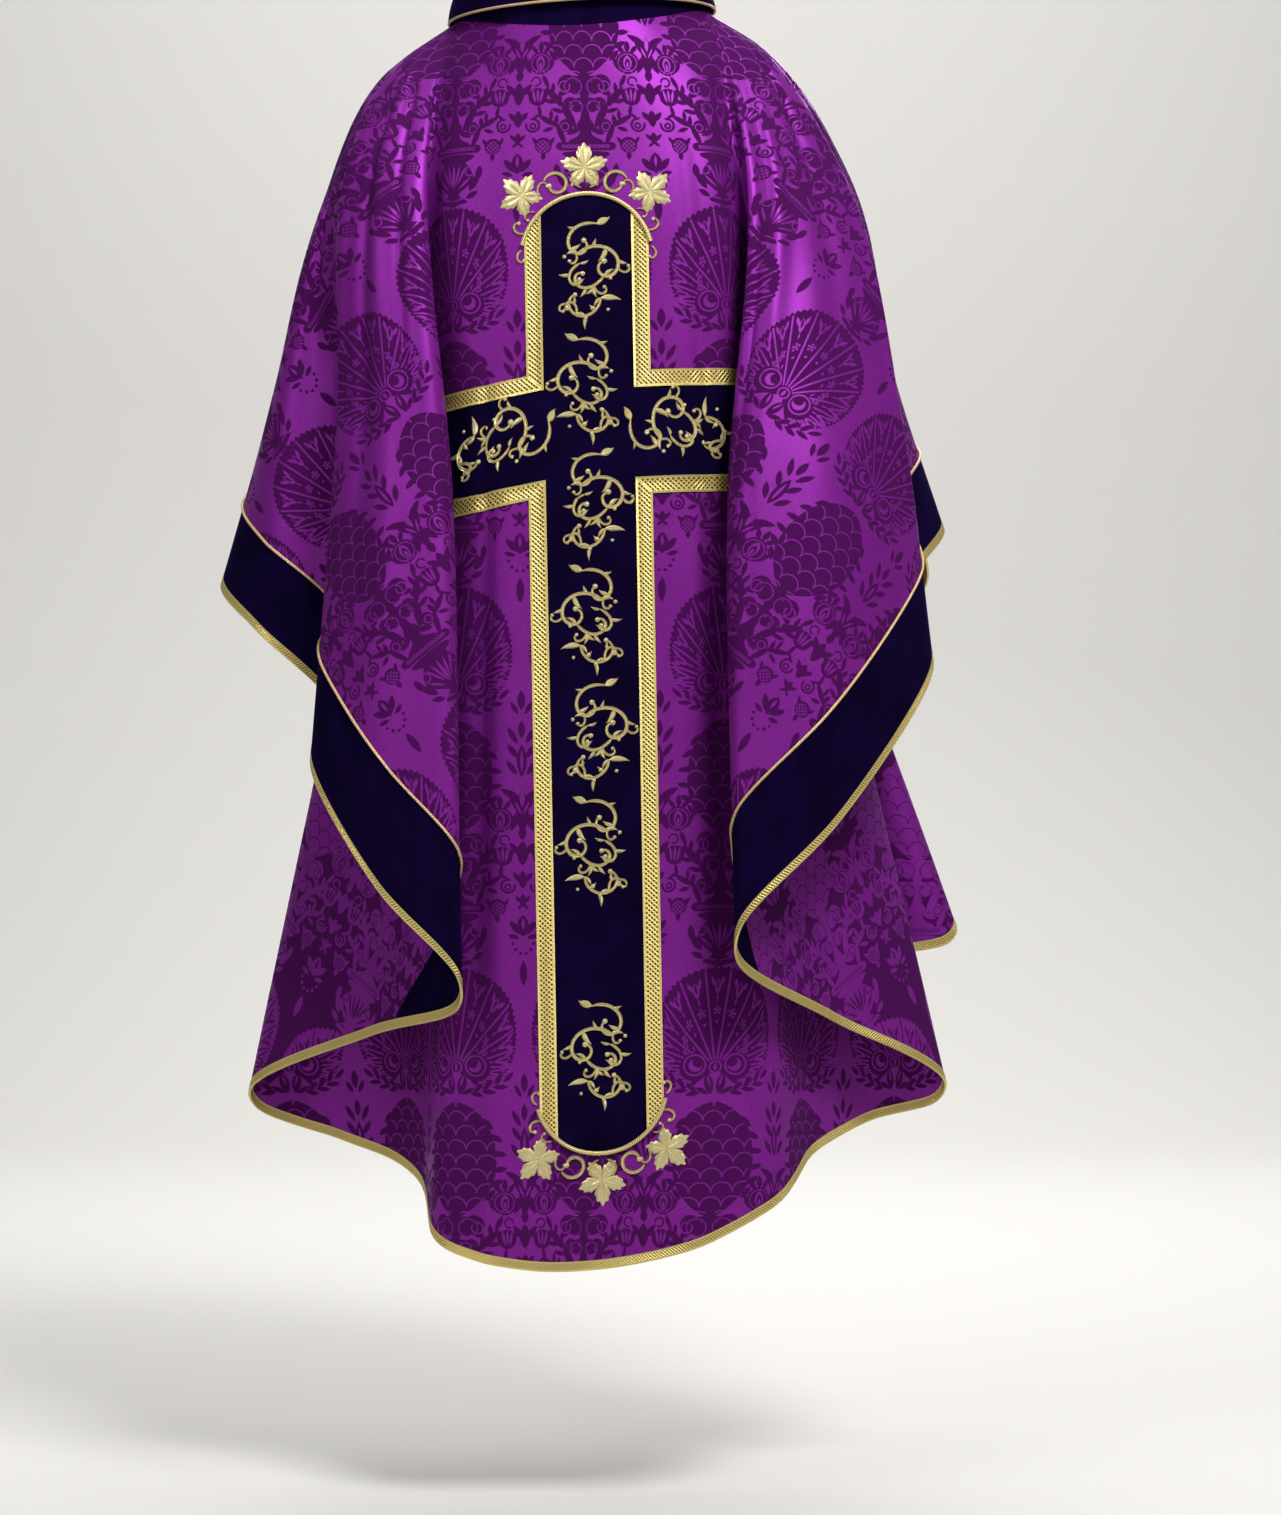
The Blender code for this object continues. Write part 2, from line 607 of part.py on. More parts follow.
def on_arch(way, aside, out):
    """Sizes from the centre of an arch, with out away from the cross, as sizes on the cross."""
    return np.asarray(aside, float), (ARCH_UP if way > 0 else ARCH_DOWN) + way * np.asarray(out, float)


def arch_cord(name, way):
    """The twisted gold cord round the arch, over the ends of velvet and galloon."""
    turns = np.radians(np.linspace(ARCH_START, 180 - ARCH_START, ARCH_STEPS))
    aside, up = on_arch(way, ARCH_RADIUS * np.cos(turns), ARCH_RADIUS * np.sin(turns))
    lift = CLOTH_WALL / 2 + LAY_GAP + CORD_RADIUS
    tube(name, laid(aside, up, lift)[0], CORD_RADIUS, PALE_GOLD)


def crest_leaf(name, way, aside, out, size, turn):
    """A padded leaf with five lobes, its stalk end towards the arch."""
    turns = np.linspace(0, 2 * math.pi, 4 * LEAF_LOBES + 1)[:-1]
    lobes = np.abs(np.cos(LEAF_LOBES * turns / 2)) ** 0.8
    reach = size * (LEAF_WAIST + (1 - LEAF_WAIST) * lobes) * (0.86 + 0.14 * np.cos(turns))
    angles = turns + math.radians(turn)
    lift = CLOTH_WALL / 2 + LAY_GAP + CREST_WALL / 2
    count = len(turns)
    parts = np.repeat((0.5, 1.0), count)
    asides = np.append(aside + parts * np.tile(reach * np.cos(angles), 2), aside)
    outs = np.append(out + parts * np.tile(reach * np.sin(angles), 2), out)
    faces = []
    for j in range(count):
        k = (j + 1) % count
        faces += [(2 * count, j, k), (j, count + j, count + k, k)]
    slab(name, *laid(*on_arch(way, asides, outs), lift), faces, PALE_GOLD, CREST_WALL)


def crest_scroll(name, way, sign):
    """A scroll that springs from the outer leaf, goes round and curls in on itself."""
    turns = np.radians(np.linspace(*SCROLL_TURNS, SCROLL_STEPS))
    reach = SCROLL_SIZE * np.linspace(1.0, SCROLL_CURL, SCROLL_STEPS)
    place = on_arch(way, sign * (SCROLL_ASIDE + reach * np.cos(turns)), SCROLL_OUT + reach * np.sin(turns))
    lift = CLOTH_WALL / 2 + LAY_GAP + SCROLL_RADIUS
    tube(name, laid(*place, lift)[0], SCROLL_RADIUS, PALE_GOLD)


def build():
    clear_scene()
    left, right = band_limits(-1), band_limits(1)
    behind = right[1] - RING
    back = (RIGHT_SEAM - RING, behind, left[0], LEFT_SEAM)
    front = (LEFT_SEAM, left[1], right[0], RIGHT_SEAM)
    left_sleeve = (left[0], LEFT_SEAM, left[1])
    right_sleeve = (right[0], RIGHT_SEAM, right[1])
    panel("back_panel", back)
    panel("front_panel", front)
    sleeve_band("left_sleeve_band", left_sleeve)
    sleeve_band("right_sleeve_band", right_sleeve)
    band_piping("left_band_piping", left_sleeve)
    band_piping("right_band_piping", right_sleeve)
    edge_galloon("back_hem_galloon", (behind, left[0]))
    edge_galloon("front_hem_galloon", (left[1], right[0]))
    edge_galloon("left_sleeve_galloon", left_sleeve)
    edge_galloon("right_sleeve_galloon", right_sleeve)
    collar()
    orphrey_velvet()
    for sign, side in ((-1, "left"), (1, "right")):
        orphrey_galloon("orphrey_galloon_upper_" + side, sign, 1)
        orphrey_galloon("orphrey_galloon_lower_" + side, sign, -1)
        orphrey_end("orphrey_galloon_end_" + side, sign)
    for way, end in ((1, "top"), (-1, "bottom")):
        arch_cord("arch_cord_" + end, way)
        for side, aside, out, size, turn in CREST_LEAVES:
            crest_leaf(f"crest_leaf_{end}_{side}", way, aside, out, size, turn)
        for sign, side in ((-1, "left"), (1, "right")):
            crest_scroll(f"crest_scroll_{end}_{side}", way, sign)


build()
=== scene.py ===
# Worn chasuble seen from behind: purple damask, velvet cross and bands, gold lace and gold thread work
import math

import bpy
import numpy as np
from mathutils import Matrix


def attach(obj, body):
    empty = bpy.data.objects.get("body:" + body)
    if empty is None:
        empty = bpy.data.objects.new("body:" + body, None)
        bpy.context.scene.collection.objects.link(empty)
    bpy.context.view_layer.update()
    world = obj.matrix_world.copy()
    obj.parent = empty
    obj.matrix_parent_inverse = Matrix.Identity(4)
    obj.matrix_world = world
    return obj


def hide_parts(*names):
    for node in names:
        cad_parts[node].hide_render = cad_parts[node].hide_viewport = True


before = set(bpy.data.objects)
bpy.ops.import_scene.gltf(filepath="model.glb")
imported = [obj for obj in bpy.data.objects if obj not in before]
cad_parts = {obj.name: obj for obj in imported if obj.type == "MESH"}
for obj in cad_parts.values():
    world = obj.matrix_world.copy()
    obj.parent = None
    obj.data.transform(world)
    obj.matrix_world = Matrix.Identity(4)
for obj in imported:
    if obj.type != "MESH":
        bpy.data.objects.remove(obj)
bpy.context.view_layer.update()        # every CAD node, in one body named root
print("frame loaded:", len(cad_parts), "nodes")

mm = 0.001
imageSize = (1281, 1515)

# The cloth: fold lines from the neck to the edge, in millimetres, as the solids have them
neck = {"halfWidth": 134.0, "halfDepth": 101.0, "backZ": -34.0, "sideZ": -10.0, "frontZ": -52.0, "tilt": 6.0}
levels = ("yoke", "lift", "mid", "edge")
frontShift = dict(zip(levels, (-5.0, 5.0, 55.0, 85.0)))
frontLength = dict(zip(levels, (1.0, 1.0, 0.98, 0.855)))
frontWidth = {-1: dict(zip(levels, (1.0, 1.0, 0.96, 0.84))), 1: dict(zip(levels, (1.0, 1.0, 1.0, 1.04)))}

# name, neck angle, yoke, lift, mid, edge (each x, y, z), width of the velvet band, rounding of the fold
leftFolds = (
    ("centre", 0, (3, -114, -100), (5, -125, -167), (10, -134, -525), (2, -145, -1313), 0, 0),
    ("panel", 27, (-67, -111, -98), (-70, -123, -166), (-74, -136, -526), (-78, -150, -1308), 0, 0),
    ("panel ridge", 46, (-106, -97, -92), (-112, -114, -165), (-121, -125, -525), (-146, -132, -1290), 0, 14),
    ("panel side", 57, (-126, -84, -86), (-134, -102, -163), (-156, -80, -522), (-171, -40, -1230), 0, 0),
    ("inner side", 64, (-136, -72, -80), (-145, -90, -161), (-195, -40, -520), (-257, 14, -1193), 0, 0),
    ("outer turn", 69, (-141, -62, -74), (-155, -84, -158), (-232, 2, -517), (-371, 2, -1150), 0, 30),
    ("reverse", 73, (-145, -56, -68), (-159, -88, -151), (-187, -80, -470), (-214, -128, -1074), -30, 0),
    ("front turn", 77, (-148, -52, -62), (-156, -108, -152), (-116, -182, -549), (-102, -222, -1034), 134, 26),
    ("sleeve fall", 81, (-166, -42, -56), (-190, -92, -141), (-192, -170, -477), (-200, -210, -925), 133, 0),
    ("sleeve side", 84, (-184, -36, -59), (-226, -64, -136), (-252, -112, -452), (-279, -132, -797), 114, 14),
    ("sleeve pleat", 86, (-191, -28, -62), (-243, -48, -146), (-243, -66, -416), (-256, -70, -734), 104, 14),
    ("arm back", 88, (-200, -18, -66), (-262, -34, -190), (-306, -44, -395), (-338, -42, -658), 93, 0),
    ("arm seam", 90, (-207, -6, -73), (-279, 6, -242), (-333, 20, -431), (-383, 30, -603), 90, 0),
)
rightFolds = (
    ("panel", 27, (68, -111, -97), (77, -123, -166), (102, -136, -526), (112, -150, -1291), 0, 0),
    ("panel ridge", 46, (114, -97, -88), (130, -114, -165), (159, -120, -525), (200, -122, -1251), 0, 14),
    ("panel side", 57, (130, -84, -80), (146, -100, -163), (184, -72, -522), (244, -50, -1204), 0, 0),
    ("inner side", 64, (137, -72, -72), (154, -90, -161), (206, -34, -519), (310, 20, -1172), 0, 0),
    ("outer turn", 69, (142, -62, -66), (160, -84, -158), (246, 6, -517), (406, 30, -1147), 0, 30),
    ("reverse", 73, (146, -56, -60), (166, -92, -152), (214, -88, -470), (262, -92, -1062), -210, 0),
    ("front turn", 77, (151, -52, -54), (172, -112, -168), (137, -192, -550), (143, -232, -981), 120, 26),
    ("sleeve fall", 82, (172, -42, -46), (220, -90, -168), (243, -182, -478), (258, -220, -857), 118, 0),
    ("sleeve side", 85, (186, -30, -45), (266, -44, -164), (334, -100, -450), (366, -98, -700), 104, 14),
    ("arm back", 88, (194, -18, -47), (276, -18, -172), (318, -34, -392), (346, -20, -610), 94, 0),
    ("arm seam", 90, (200, -6, -50), (286, 6, -192), (330, 30, -380), (387, 80, -541), 88, 0),
)

# Creases: fold line above and below, down from and to, width in fold lines, depth in mm
creases = (
    (0.35, 0.62, 1.9, 4.5, 0.22, 3.2), (-0.55, -0.40, 2.2, 4.6, 0.20, -3.0), (0.95, 1.35, 2.6, 4.6, 0.25, 4.0),
    (-1.2, -0.95, 3.0, 4.8, 0.24, 4.5), (1.7, 1.55, 2.4, 4.2, 0.22, -4.0), (-1.75, -1.5, 1.6, 3.9, 0.20, -3.5),
    (-0.15, 0.12, 3.3, 4.9, 0.30, -4.0), (4.3, 4.6, 2.8, 4.7, 0.30, -6.0), (-3.6, -4.3, 2.6, 4.7, 0.35, -6.0),
    (5.4, 5.3, 2.9, 4.8, 0.25, 5.0), (-5.3, -5.2, 2.7, 4.8, 0.25, 5.0), (8.2, 8.5, 2.4, 4.6, 0.25, -5.0),
    (10.5, 10.8, 1.2, 3.3, 0.16, -4.5), (11.1, 11.3, 0.9, 2.9, 0.20, 4.0), (11.6, 11.5, 1.5, 3.7, 0.17, -5.0),
    (12.4, 12.6, 1.3, 3.4, 0.30, 3.0), (13.5, 13.4, 1.1, 3.2, 0.22, -4.0), (15.5, 15.6, 1.0, 3.6, 0.22, -4.5),
    (16.5, 16.3, 0.7, 2.9, 0.20, 4.0), (-9.6, -9.8, 0.9, 3.2, 0.18, -4.0), (-10.4, -10.2, 1.2, 3.6, 0.20, 4.5),
    (-11.4, -11.3, 0.8, 3.0, 0.20, -5.0), (-12.3, -12.6, 1.3, 3.7, 0.30, 3.5), (-13.4, -13.3, 0.7, 2.8, 0.22, -4.5),
    (-14.4, -14.5, 1.5, 3.5, 0.20, 3.5), (-7.8, -7.5, 2.5, 4.6, 0.25, -5.0), (19.5, 19.4, 1.0, 3.3, 0.25, -4.5),
    (20.6, 20.8, 0.9, 3.0, 0.22, 4.0), (21.6, 21.4, 1.4, 3.6, 0.20, -4.5), (24.4, 24.5, 2.4, 4.6, 0.25, -5.0),
    (28.4, 28.7, 2.5, 4.7, 0.30, -5.5), (30.5, 30.2, 1.8, 4.4, 0.25, 4.0), (31.4, 31.6, 2.1, 4.6, 0.24, -4.0),
    (32.3, 32.1, 2.8, 4.8, 0.26, 4.0), (33.2, 33.5, 1.9, 4.5, 0.22, -3.5), (34.6, 34.4, 2.6, 4.7, 0.25, 4.5),
    (36.5, 36.8, 2.4, 4.6, 0.28, -5.5), (40.4, 40.5, 2.3, 4.6, 0.25, -5.0), (42.5, 42.7, 1.2, 3.4, 0.18, -4.5),
    (43.5, 43.3, 0.9, 3.1, 0.20, 4.5), (45.5, 45.4, 1.0, 3.3, 0.20, -4.0), (46.5, 46.6, 0.8, 2.8, 0.22, 3.5),
)


def neckHeight(side, ahead):
    low = np.where(ahead > 0, neck["backZ"], neck["frontZ"])
    return low + (neck["sideZ"] - low) * side**2 + neck["tilt"] * side


def foldPoints(fold, side, half):
    name, degrees, *places, band, rounding = fold
    angle = math.radians(degrees)
    aside, ahead = side * math.sin(angle), -half * math.cos(angle)
    points = [(neck["halfWidth"] * aside, -neck["halfDepth"] * ahead, float(neckHeight(aside, ahead)))]
    for level, (x, y, z) in zip(levels, places):
        if half > 0 and name != "arm seam":
            x, y, z = x * frontWidth[side][level], frontShift[level] - y, z * frontLength[level]
        points.append((x, y, z))
    return points


def rounded(line, beside, size):
    if not size:
        return [line]
    ways = [other - line for other in beside]
    gaps = [np.linalg.norm(way, axis=1, keepdims=True) for way in ways]
    return [line + way / gap * np.minimum(size, gap * 0.3) for way, gap in zip(ways, gaps)]


def ringOfFolds():
    ring = [(fold, -1, -1) for fold in leftFolds]
    ring += [(fold, -1, 1) for fold in leftFolds[-2::-1] if fold[0] != "sleeve pleat"]
    ring += [(fold, 1, 1) for fold in rightFolds]
    ring += [(fold, 1, -1) for fold in rightFolds[-2::-1]]
    sharp = np.array([foldPoints(*place) for place in ring], float)
    names, lines, bands = [], [], []
    for k, (fold, side, half) in enumerate(ring):
        for line in rounded(sharp[k], (sharp[k - 1], sharp[(k + 1) % len(ring)]), fold[-1]):
            names.append(fold[0])
            lines.append(line)
            bands.append(fold[-2])
    return names, np.array(lines), np.array(bands, float)


foldNames, foldLines, bandWidths = ringOfFolds()
ringCount = len(foldLines)
leftSeam = foldNames.index("arm seam")
rightSeam = foldNames.index("arm seam", leftSeam + 1)
centreFront = foldNames.index("centre", 1)


def curveBetween(before, start, end, after, part, power):
    part = part[..., None]
    first = np.maximum(np.linalg.norm(start - before, axis=-1), 1e-6)[..., None] ** power
    own = np.maximum(np.linalg.norm(end - start, axis=-1), 1e-6)[..., None] ** power
    last = np.maximum(np.linalg.norm(after - end, axis=-1), 1e-6)[..., None] ** power
    leave = end - start + own * ((start - before) / first - (end - before) / (first + own))
    arrive = end - start + own * ((after - end) / last - (after - start) / (own + last))
    bend = 2 * (start - end) + leave + arrive
    swing = -3 * (start - end) - 2 * leave - arrive
    return bend * part**3 + swing * part**2 + leave * part + start


def smoothCloth(across, down):    # the cloth without its creases
    across, down = np.broadcast_arrays(np.asarray(across, float), np.asarray(down, float))
    row = np.clip(np.floor(down).astype(int), 0, 3)
    steps = foldLines.swapaxes(0, 1)
    padded = np.concatenate([2 * steps[:1] - steps[1:2], steps, 2 * steps[-1:] - steps[-2:-1]])
    lines = np.moveaxis(padded, 1, 0)
    fold = np.floor(across).astype(int)
    near = []
    for step in (-1, 0, 1, 2):
        picks = [lines[(fold + step) % ringCount, row + k] for k in range(4)]
        near.append(curveBetween(*picks, down - row, 1.0))
    return curveBetween(*near, across - fold, 0.6)


def directionOut(surface, across, down):
    step = 0.02
    low, high = np.clip(down - step, 0, 4), np.clip(down + step, 0, 4)
    sideways = surface(across + step, down) - surface(across - step, down)
    normal = np.cross(sideways, surface(across, high) - surface(across, low))
    return normal / np.linalg.norm(normal, axis=-1, keepdims=True)


def creaseDepth(across, down):
    depth = np.zeros(across.shape)
    for top, low, start, end, width, size in creases:
        part = np.clip((down - start) / (end - start), 0, 1)
        away = (across - top - (low - top) * part + ringCount / 2) % ringCount - ringCount / 2
        depth += size * np.sin(math.pi * part) * np.exp(-((away / width) ** 2))
    return depth


def cloth(across, down):
    across, down = np.broadcast_arrays(np.asarray(across, float), np.asarray(down, float))
    depth = creaseDepth(across, down)[..., None]
    return smoothCloth(across, down) + depth * directionOut(smoothCloth, across, down)


def outward(across, down):
    across, down = np.broadcast_arrays(np.asarray(across, float), np.asarray(down, float))
    return directionOut(cloth, across, down)


def bandWidth(across):
    fold = np.floor(across).astype(int)
    part = across - fold
    return bandWidths[fold % ringCount] * (1 - part) + bandWidths[(fold + 1) % ringCount] * part


def downAt(across, distance):    # rows down where a line is this far from the edge
    across, distance = np.broadcast_arrays(np.asarray(across, float), np.asarray(distance, float))
    downs = np.linspace(3.0, 4.0, 41)
    lines = cloth(across[:, None], downs[None, :])
    steps = np.linalg.norm(np.diff(lines, axis=1), axis=-1)
    left = np.concatenate([np.cumsum(steps[:, ::-1], axis=1)[:, ::-1], np.zeros((len(across), 1))], axis=1)
    return np.array([np.interp(-d, -row, downs) for d, row in zip(distance, left)])


def columnsAcross(start, end, spacing):    # columns on the fold lines and evenly between them
    places = [start]
    for fold in range(math.floor(start), math.ceil(end)):
        gap = np.linalg.norm(smoothCloth(fold + 1.0, 3.3) - smoothCloth(float(fold), 3.3))
        each = max(4, round(gap / spacing))
        places += [p for p in fold + np.arange(each) / each if start + 0.02 < p < end - 0.02]
    return np.array(places + [end])


def flatPlaces(across, down, centre):    # the same points on the flat cloth, in mm, laid out strip by strip
    fine = np.linspace(across.min(), across.max(), 1201)
    above, below = smoothCloth(fine, cut["upperRow"]), smoothCloth(fine, cut["lowerRow"])
    gone = lineLength(fine)(np.array([cut["upperRow"]]))[:, 0]
    middle = int(np.abs(fine - centre).argmin())
    heads, feet = np.zeros((len(fine), 2)), np.zeros((len(fine), 2))
    heads[middle] = (0, -gone[middle])
    feet[middle] = heads[middle] - (0, np.linalg.norm(below[middle] - above[middle]))
    for step, stop in ((1, len(fine) - 1), (-1, 0)):
        for k in range(middle, stop, step):
            line, flatLine = below[k] - above[k], feet[k] - heads[k]
            line, flatLine = line / np.linalg.norm(line), flatLine / np.linalg.norm(flatLine)
            beside = step * np.array([-flatLine[1], flatLine[0]])
            for points, ends in ((above, heads), (below, feet)):
                gap = points[k + step] - above[k]
                along = gap @ line
                ends[k + step] = heads[k] + along * flatLine + np.linalg.norm(gap - along * line) * beside
    turn = np.arctan2(feet[:, 0] - heads[:, 0], heads[:, 1] - feet[:, 1])
    turn, x, y, gone = [np.interp(across, fine, values) for values in (turn, heads[:, 0], heads[:, 1], gone)]
    past = lineLength(across[0])(down.T).T - gone
    return x + past * np.sin(turn), y - past * np.cos(turn)


def lineLength(across):    # length of each line from the neck down, as a function of rows down
    fine = np.linspace(0, 4, 81)
    lines = smoothCloth(across[:, None], fine[None, :])
    steps = np.linalg.norm(np.diff(lines, axis=1), axis=-1)
    lengths = np.concatenate([np.zeros((len(across), 1)), np.cumsum(steps, axis=1)], axis=1)
    return lambda down: np.array([np.interp(d, fine, row) for d, row in
                                  zip(np.broadcast_to(down, (len(across), np.shape(down)[-1])), lengths)])


cut = {"upperRow": 1.6, "lowerRow": 3.4}


# Meshes
def finished(name, points, faces, looks, coords, slots=None):
    mesh = bpy.data.meshes.new(name)
    mesh.from_pydata((points * mm).tolist(), [], [tuple(face) for face in faces])
    for look in looks:
        mesh.materials.append(look)
    if slots is not None:
        mesh.polygons.foreach_set("material_index", np.asarray(slots, np.int32))
    spots = mesh.attributes.new("clothMm", "FLOAT_VECTOR", "POINT")
    spots.data.foreach_set("vector", np.asarray(coords, np.float32).ravel())
    mesh.shade_smooth()
    mesh.set_sharp_from_angle(angle=math.radians(55))
    thing = bpy.data.objects.new(name, mesh)
    bpy.context.scene.collection.objects.link(thing)
    return thing


def netFaces(rows, cols, closed=False):
    spots = np.arange(rows * cols).reshape(rows, cols)
    after = np.roll(spots, -1, axis=1) if closed else spots[:, 1:]
    spots = spots if closed else spots[:, :-1]
    return np.stack([spots[:-1], after[:-1], after[1:], spots[1:]], axis=-1).reshape(-1, 4)


def closedNet(name, top, under, coords, faces, looks):    # two nets of the same faces, joined round their free edges
    faces, count = np.asarray(faces), len(top)
    sides = [tuple(side) for face in faces.tolist() for side in zip(face, face[1:] + face[:1])]
    paired = set(sides)
    free = np.array([side for side in sides if side[::-1] not in paired])
    rims = np.stack([free[:, 1], free[:, 0], free[:, 0] + count, free[:, 1] + count], axis=-1)
    slots = np.repeat([0, len(looks) - 1, 0], [len(faces), len(faces), len(rims)])
    spread = np.concatenate([coords.reshape(-1, 2), np.zeros((count, 1))], axis=1)
    return finished(name, np.concatenate([top, under]), [*faces.tolist(), *(faces[:, ::-1] + count).tolist(), *rims.tolist()],
                    looks, np.concatenate([spread, spread + [0, 0, 1]]), slots)


def shell(name, points, normals, coords, wall, looks, faces=None, closed=False):
    if faces is None:
        faces = netFaces(*points.shape[:2], closed)
    flat, out = points.reshape(-1, 3), normals.reshape(-1, 3) * wall / 2
    return closedNet(name, flat + out, flat - out, coords, faces, looks)


def tube(name, points, radius, look, sides=8, closed=False):
    ahead = np.roll(points, -1, axis=0) - np.roll(points, 1, axis=0)
    if not closed:
        ahead[0], ahead[-1] = points[1] - points[0], points[-1] - points[-2]
    ahead /= np.linalg.norm(ahead, axis=1, keepdims=True)
    out = points - points.mean(axis=0)
    out -= (out * ahead).sum(axis=1, keepdims=True) * ahead
    out /= np.linalg.norm(out, axis=1, keepdims=True)
    beside = np.cross(ahead, out)
    angles = np.linspace(0, 2 * math.pi, sides, endpoint=False)
    rings = points[:, None] + radius * (np.cos(angles)[:, None] * out[:, None] + np.sin(angles)[:, None] * beside[:, None])
    along = np.concatenate([[0], np.cumsum(np.linalg.norm(np.diff(points, axis=0), axis=1))])
    spread = np.stack(np.broadcast_arrays(along[:, None], angles[None, :] * radius, 0.0), axis=-1)
    faces = netFaces(len(points) + (1 if closed else 0), sides, True) % (len(points) * sides)
    faces = faces.tolist()
    if not closed:
        faces += [list(range(sides)), list(range(len(points) * sides - 1, (len(points) - 1) * sides - 1, -1))]
    return finished(name, rings.reshape(-1, 3), faces, [look], spread.reshape(-1, 3))


def placed(thing, slot, *nodes):
    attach(thing, "root")
    if nodes:
        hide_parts(*nodes)
    return thing


# Materials
def linear(code):    # "#rrggbb" as seen on a screen, turned to the renderer's linear light
    parts = [int(code[k:k + 2], 16) / 255 for k in (1, 3, 5)]
    return (*[p / 12.92 if p <= 0.04045 else ((p + 0.055) / 1.055) ** 2.4 for p in parts], 1.0)


def addNode(tree, kind, *inputs, **settings):    # a node with its settings; inputs are values, sockets or nodes
    node = tree.nodes.new("ShaderNode" + kind)
    named = settings.pop("named", {})
    for key, value in settings.items():
        setattr(node, key, value)
    sockets = [socket for socket in node.inputs if socket.enabled]
    for socket, value in [*zip(sockets, inputs), *((node.inputs[key], value) for key, value in named.items())]:
        if isinstance(value, bpy.types.Node):
            value = next(out for out in value.outputs if out.enabled)
        if isinstance(value, bpy.types.NodeSocket):
            tree.links.new(value, socket)
        else:
            socket.default_value = value
    return node


def newMaterial(name, **values):
    made = bpy.data.materials.new(name)
    made.use_nodes = True
    shader = made.node_tree.nodes["Principled BSDF"]
    for key, value in values.items():
        shader.inputs[key.replace("_", " ")].default_value = value
    return made, made.node_tree, shader


# Damask figures: a traditional half repeat of vase, tree, fan and flowers, mirrored at its two sides.
# Each row adds or cuts a shape: x, y, then sizes in mm and turn in degrees
repeat = {"half": 69.0, "height": 390.0, "rimBelowNeck": 131.0, "far": 9.0, "soft": 0.35}
treeTrunk = ((-3, -4), (1, 15), (6, 17), (9, 11), (14, 6), (22, 9), (30, 5), (45, 4.2), (60, 5), (72, 7), (80, 3), (84, -4))
scaleGroup = ((72, -4), (78, 9), (88, 21), (100, 31), (114, 37), (150, 38), (166, 33), (178, 25), (187, 14), (193, -3))
vaseSide = ((-62, -3), (-59, 8), (-56, 17), (-52, 12), (-48, 7), (-44, 12), (-38, 19), (-30, 23), (-20, 19), (-14, 15),
            (-11, 21), (-7, 23), (-5, -3))
scales = {"row": 14.6, "width": 20.5, "line": 0.6, "start": 3.0}
treeFigures = (
    ("add", "circle", 18, 67, 10), ("add", "circle", 9, 62, 7), ("add", "petal", 22, 58, 14, 7, 60),
    ("cut", "ring", 21, 64, 5.6, 1.2), ("add", "petal", 12, 71, 16, 7, 62), ("cut", "ring", 12, 64, 9.0, 0.9),
    ("add", "circle", 15, 45, 7.5), ("add", "circle", 8, 41, 5), ("cut", "ring", 17, 43, 4.2, 1.1),
    ("add", "petal", 9, 48, 14, 6, 60), ("cut", "ring", 9, 42, 6.6, 0.8),
    ("add", "circle", 20, 22, 7), ("add", "petal", 12, 16, 16, 6, 65), ("cut", "ring", 21, 21, 4, 1.0),
    ("add", "petal", 17, 33, 34, 8, -28), ("add", "petal", 31, 52, 30, 8, -42), ("add", "petal", 41, 70, 18, 5, -25),
    ("add", "petal", 19, 43, 15, 5, 20), ("add", "petal", 26, 49, 14, 5, 5), ("add", "petal", 33, 62, 13, 4.5, 5),
    ("add", "petal", 28, 38, 15, 5, -75), ("add", "petal", 36, 48, 14, 5, -80), ("add", "petal", 43, 59, 13, 4.5, -85),
)
flowerFigures = (    # stem, crowned fruit, striped flower with its curl, spiral and cone
    ("add", "petal", 25, 13, 28, 6, -22), ("add", "petal", 38, 27, 26, 6, -60), ("add", "petal", 47, 38, 14, 4, -12),
    ("add", "petal", 30, 27, 14, 5, 10), ("add", "petal", 38, 18, 12, 4.5, -110), ("add", "petal", 35, 33, 12, 4, 0),
    ("add", "circle", 47, 90, 12.5), ("cut", "ring", 47, 90, 9.8, 1.0), ("cut", "petal", 47, 90, 17, 9, 0),
    ("add", "petal", 47, 89, 12, 5.6, 0), ("cut", "petal", 47, 87.5, 7, 2.6, 0), ("add", "petal", 47, 108, 13, 6, 0),
    ("add", "petal", 40, 105, 12, 5, 38), ("add", "petal", 54, 105, 12, 5, -38), ("add", "petal", 34.5, 89, 16, 4.5, 20),
    ("add", "petal", 59.5, 89, 16, 4.5, -20), ("cut", "ring", 47, 79, 4.4, 0.8),
    ("add", "circle", 49, 53, 9.8), ("cut", "petal", 45, 54, 15, 2.6, 12), ("cut", "petal", 49, 54.5, 15, 2.4, 0),
    ("cut", "petal", 53, 54, 15, 2.6, -12), ("add", "petal", 39.5, 58, 14, 4, 12), ("add", "petal", 58.5, 58, 14, 4, -12),
    ("add", "ring", 51, 69.5, 4.6, 1.9), ("cut", "circle", 55, 66.5, 2.6),
    ("add", "ring", 54, 22.5, 6.6, 2.4), ("cut", "circle", 58.5, 27, 3.2), ("add", "ring", 53.6, 21.6, 2.6, 2.0),
    ("add", "petal", 50, 32, 12, 3, 50),
    ("add", "circle", 43, 1, 8.6), ("add", "petal", 43, -10, 9, 5, 0), ("add", "petal", 35, 5, 12, 4, 35),
    ("add", "petal", 51, 5, 12, 4, -35),
)
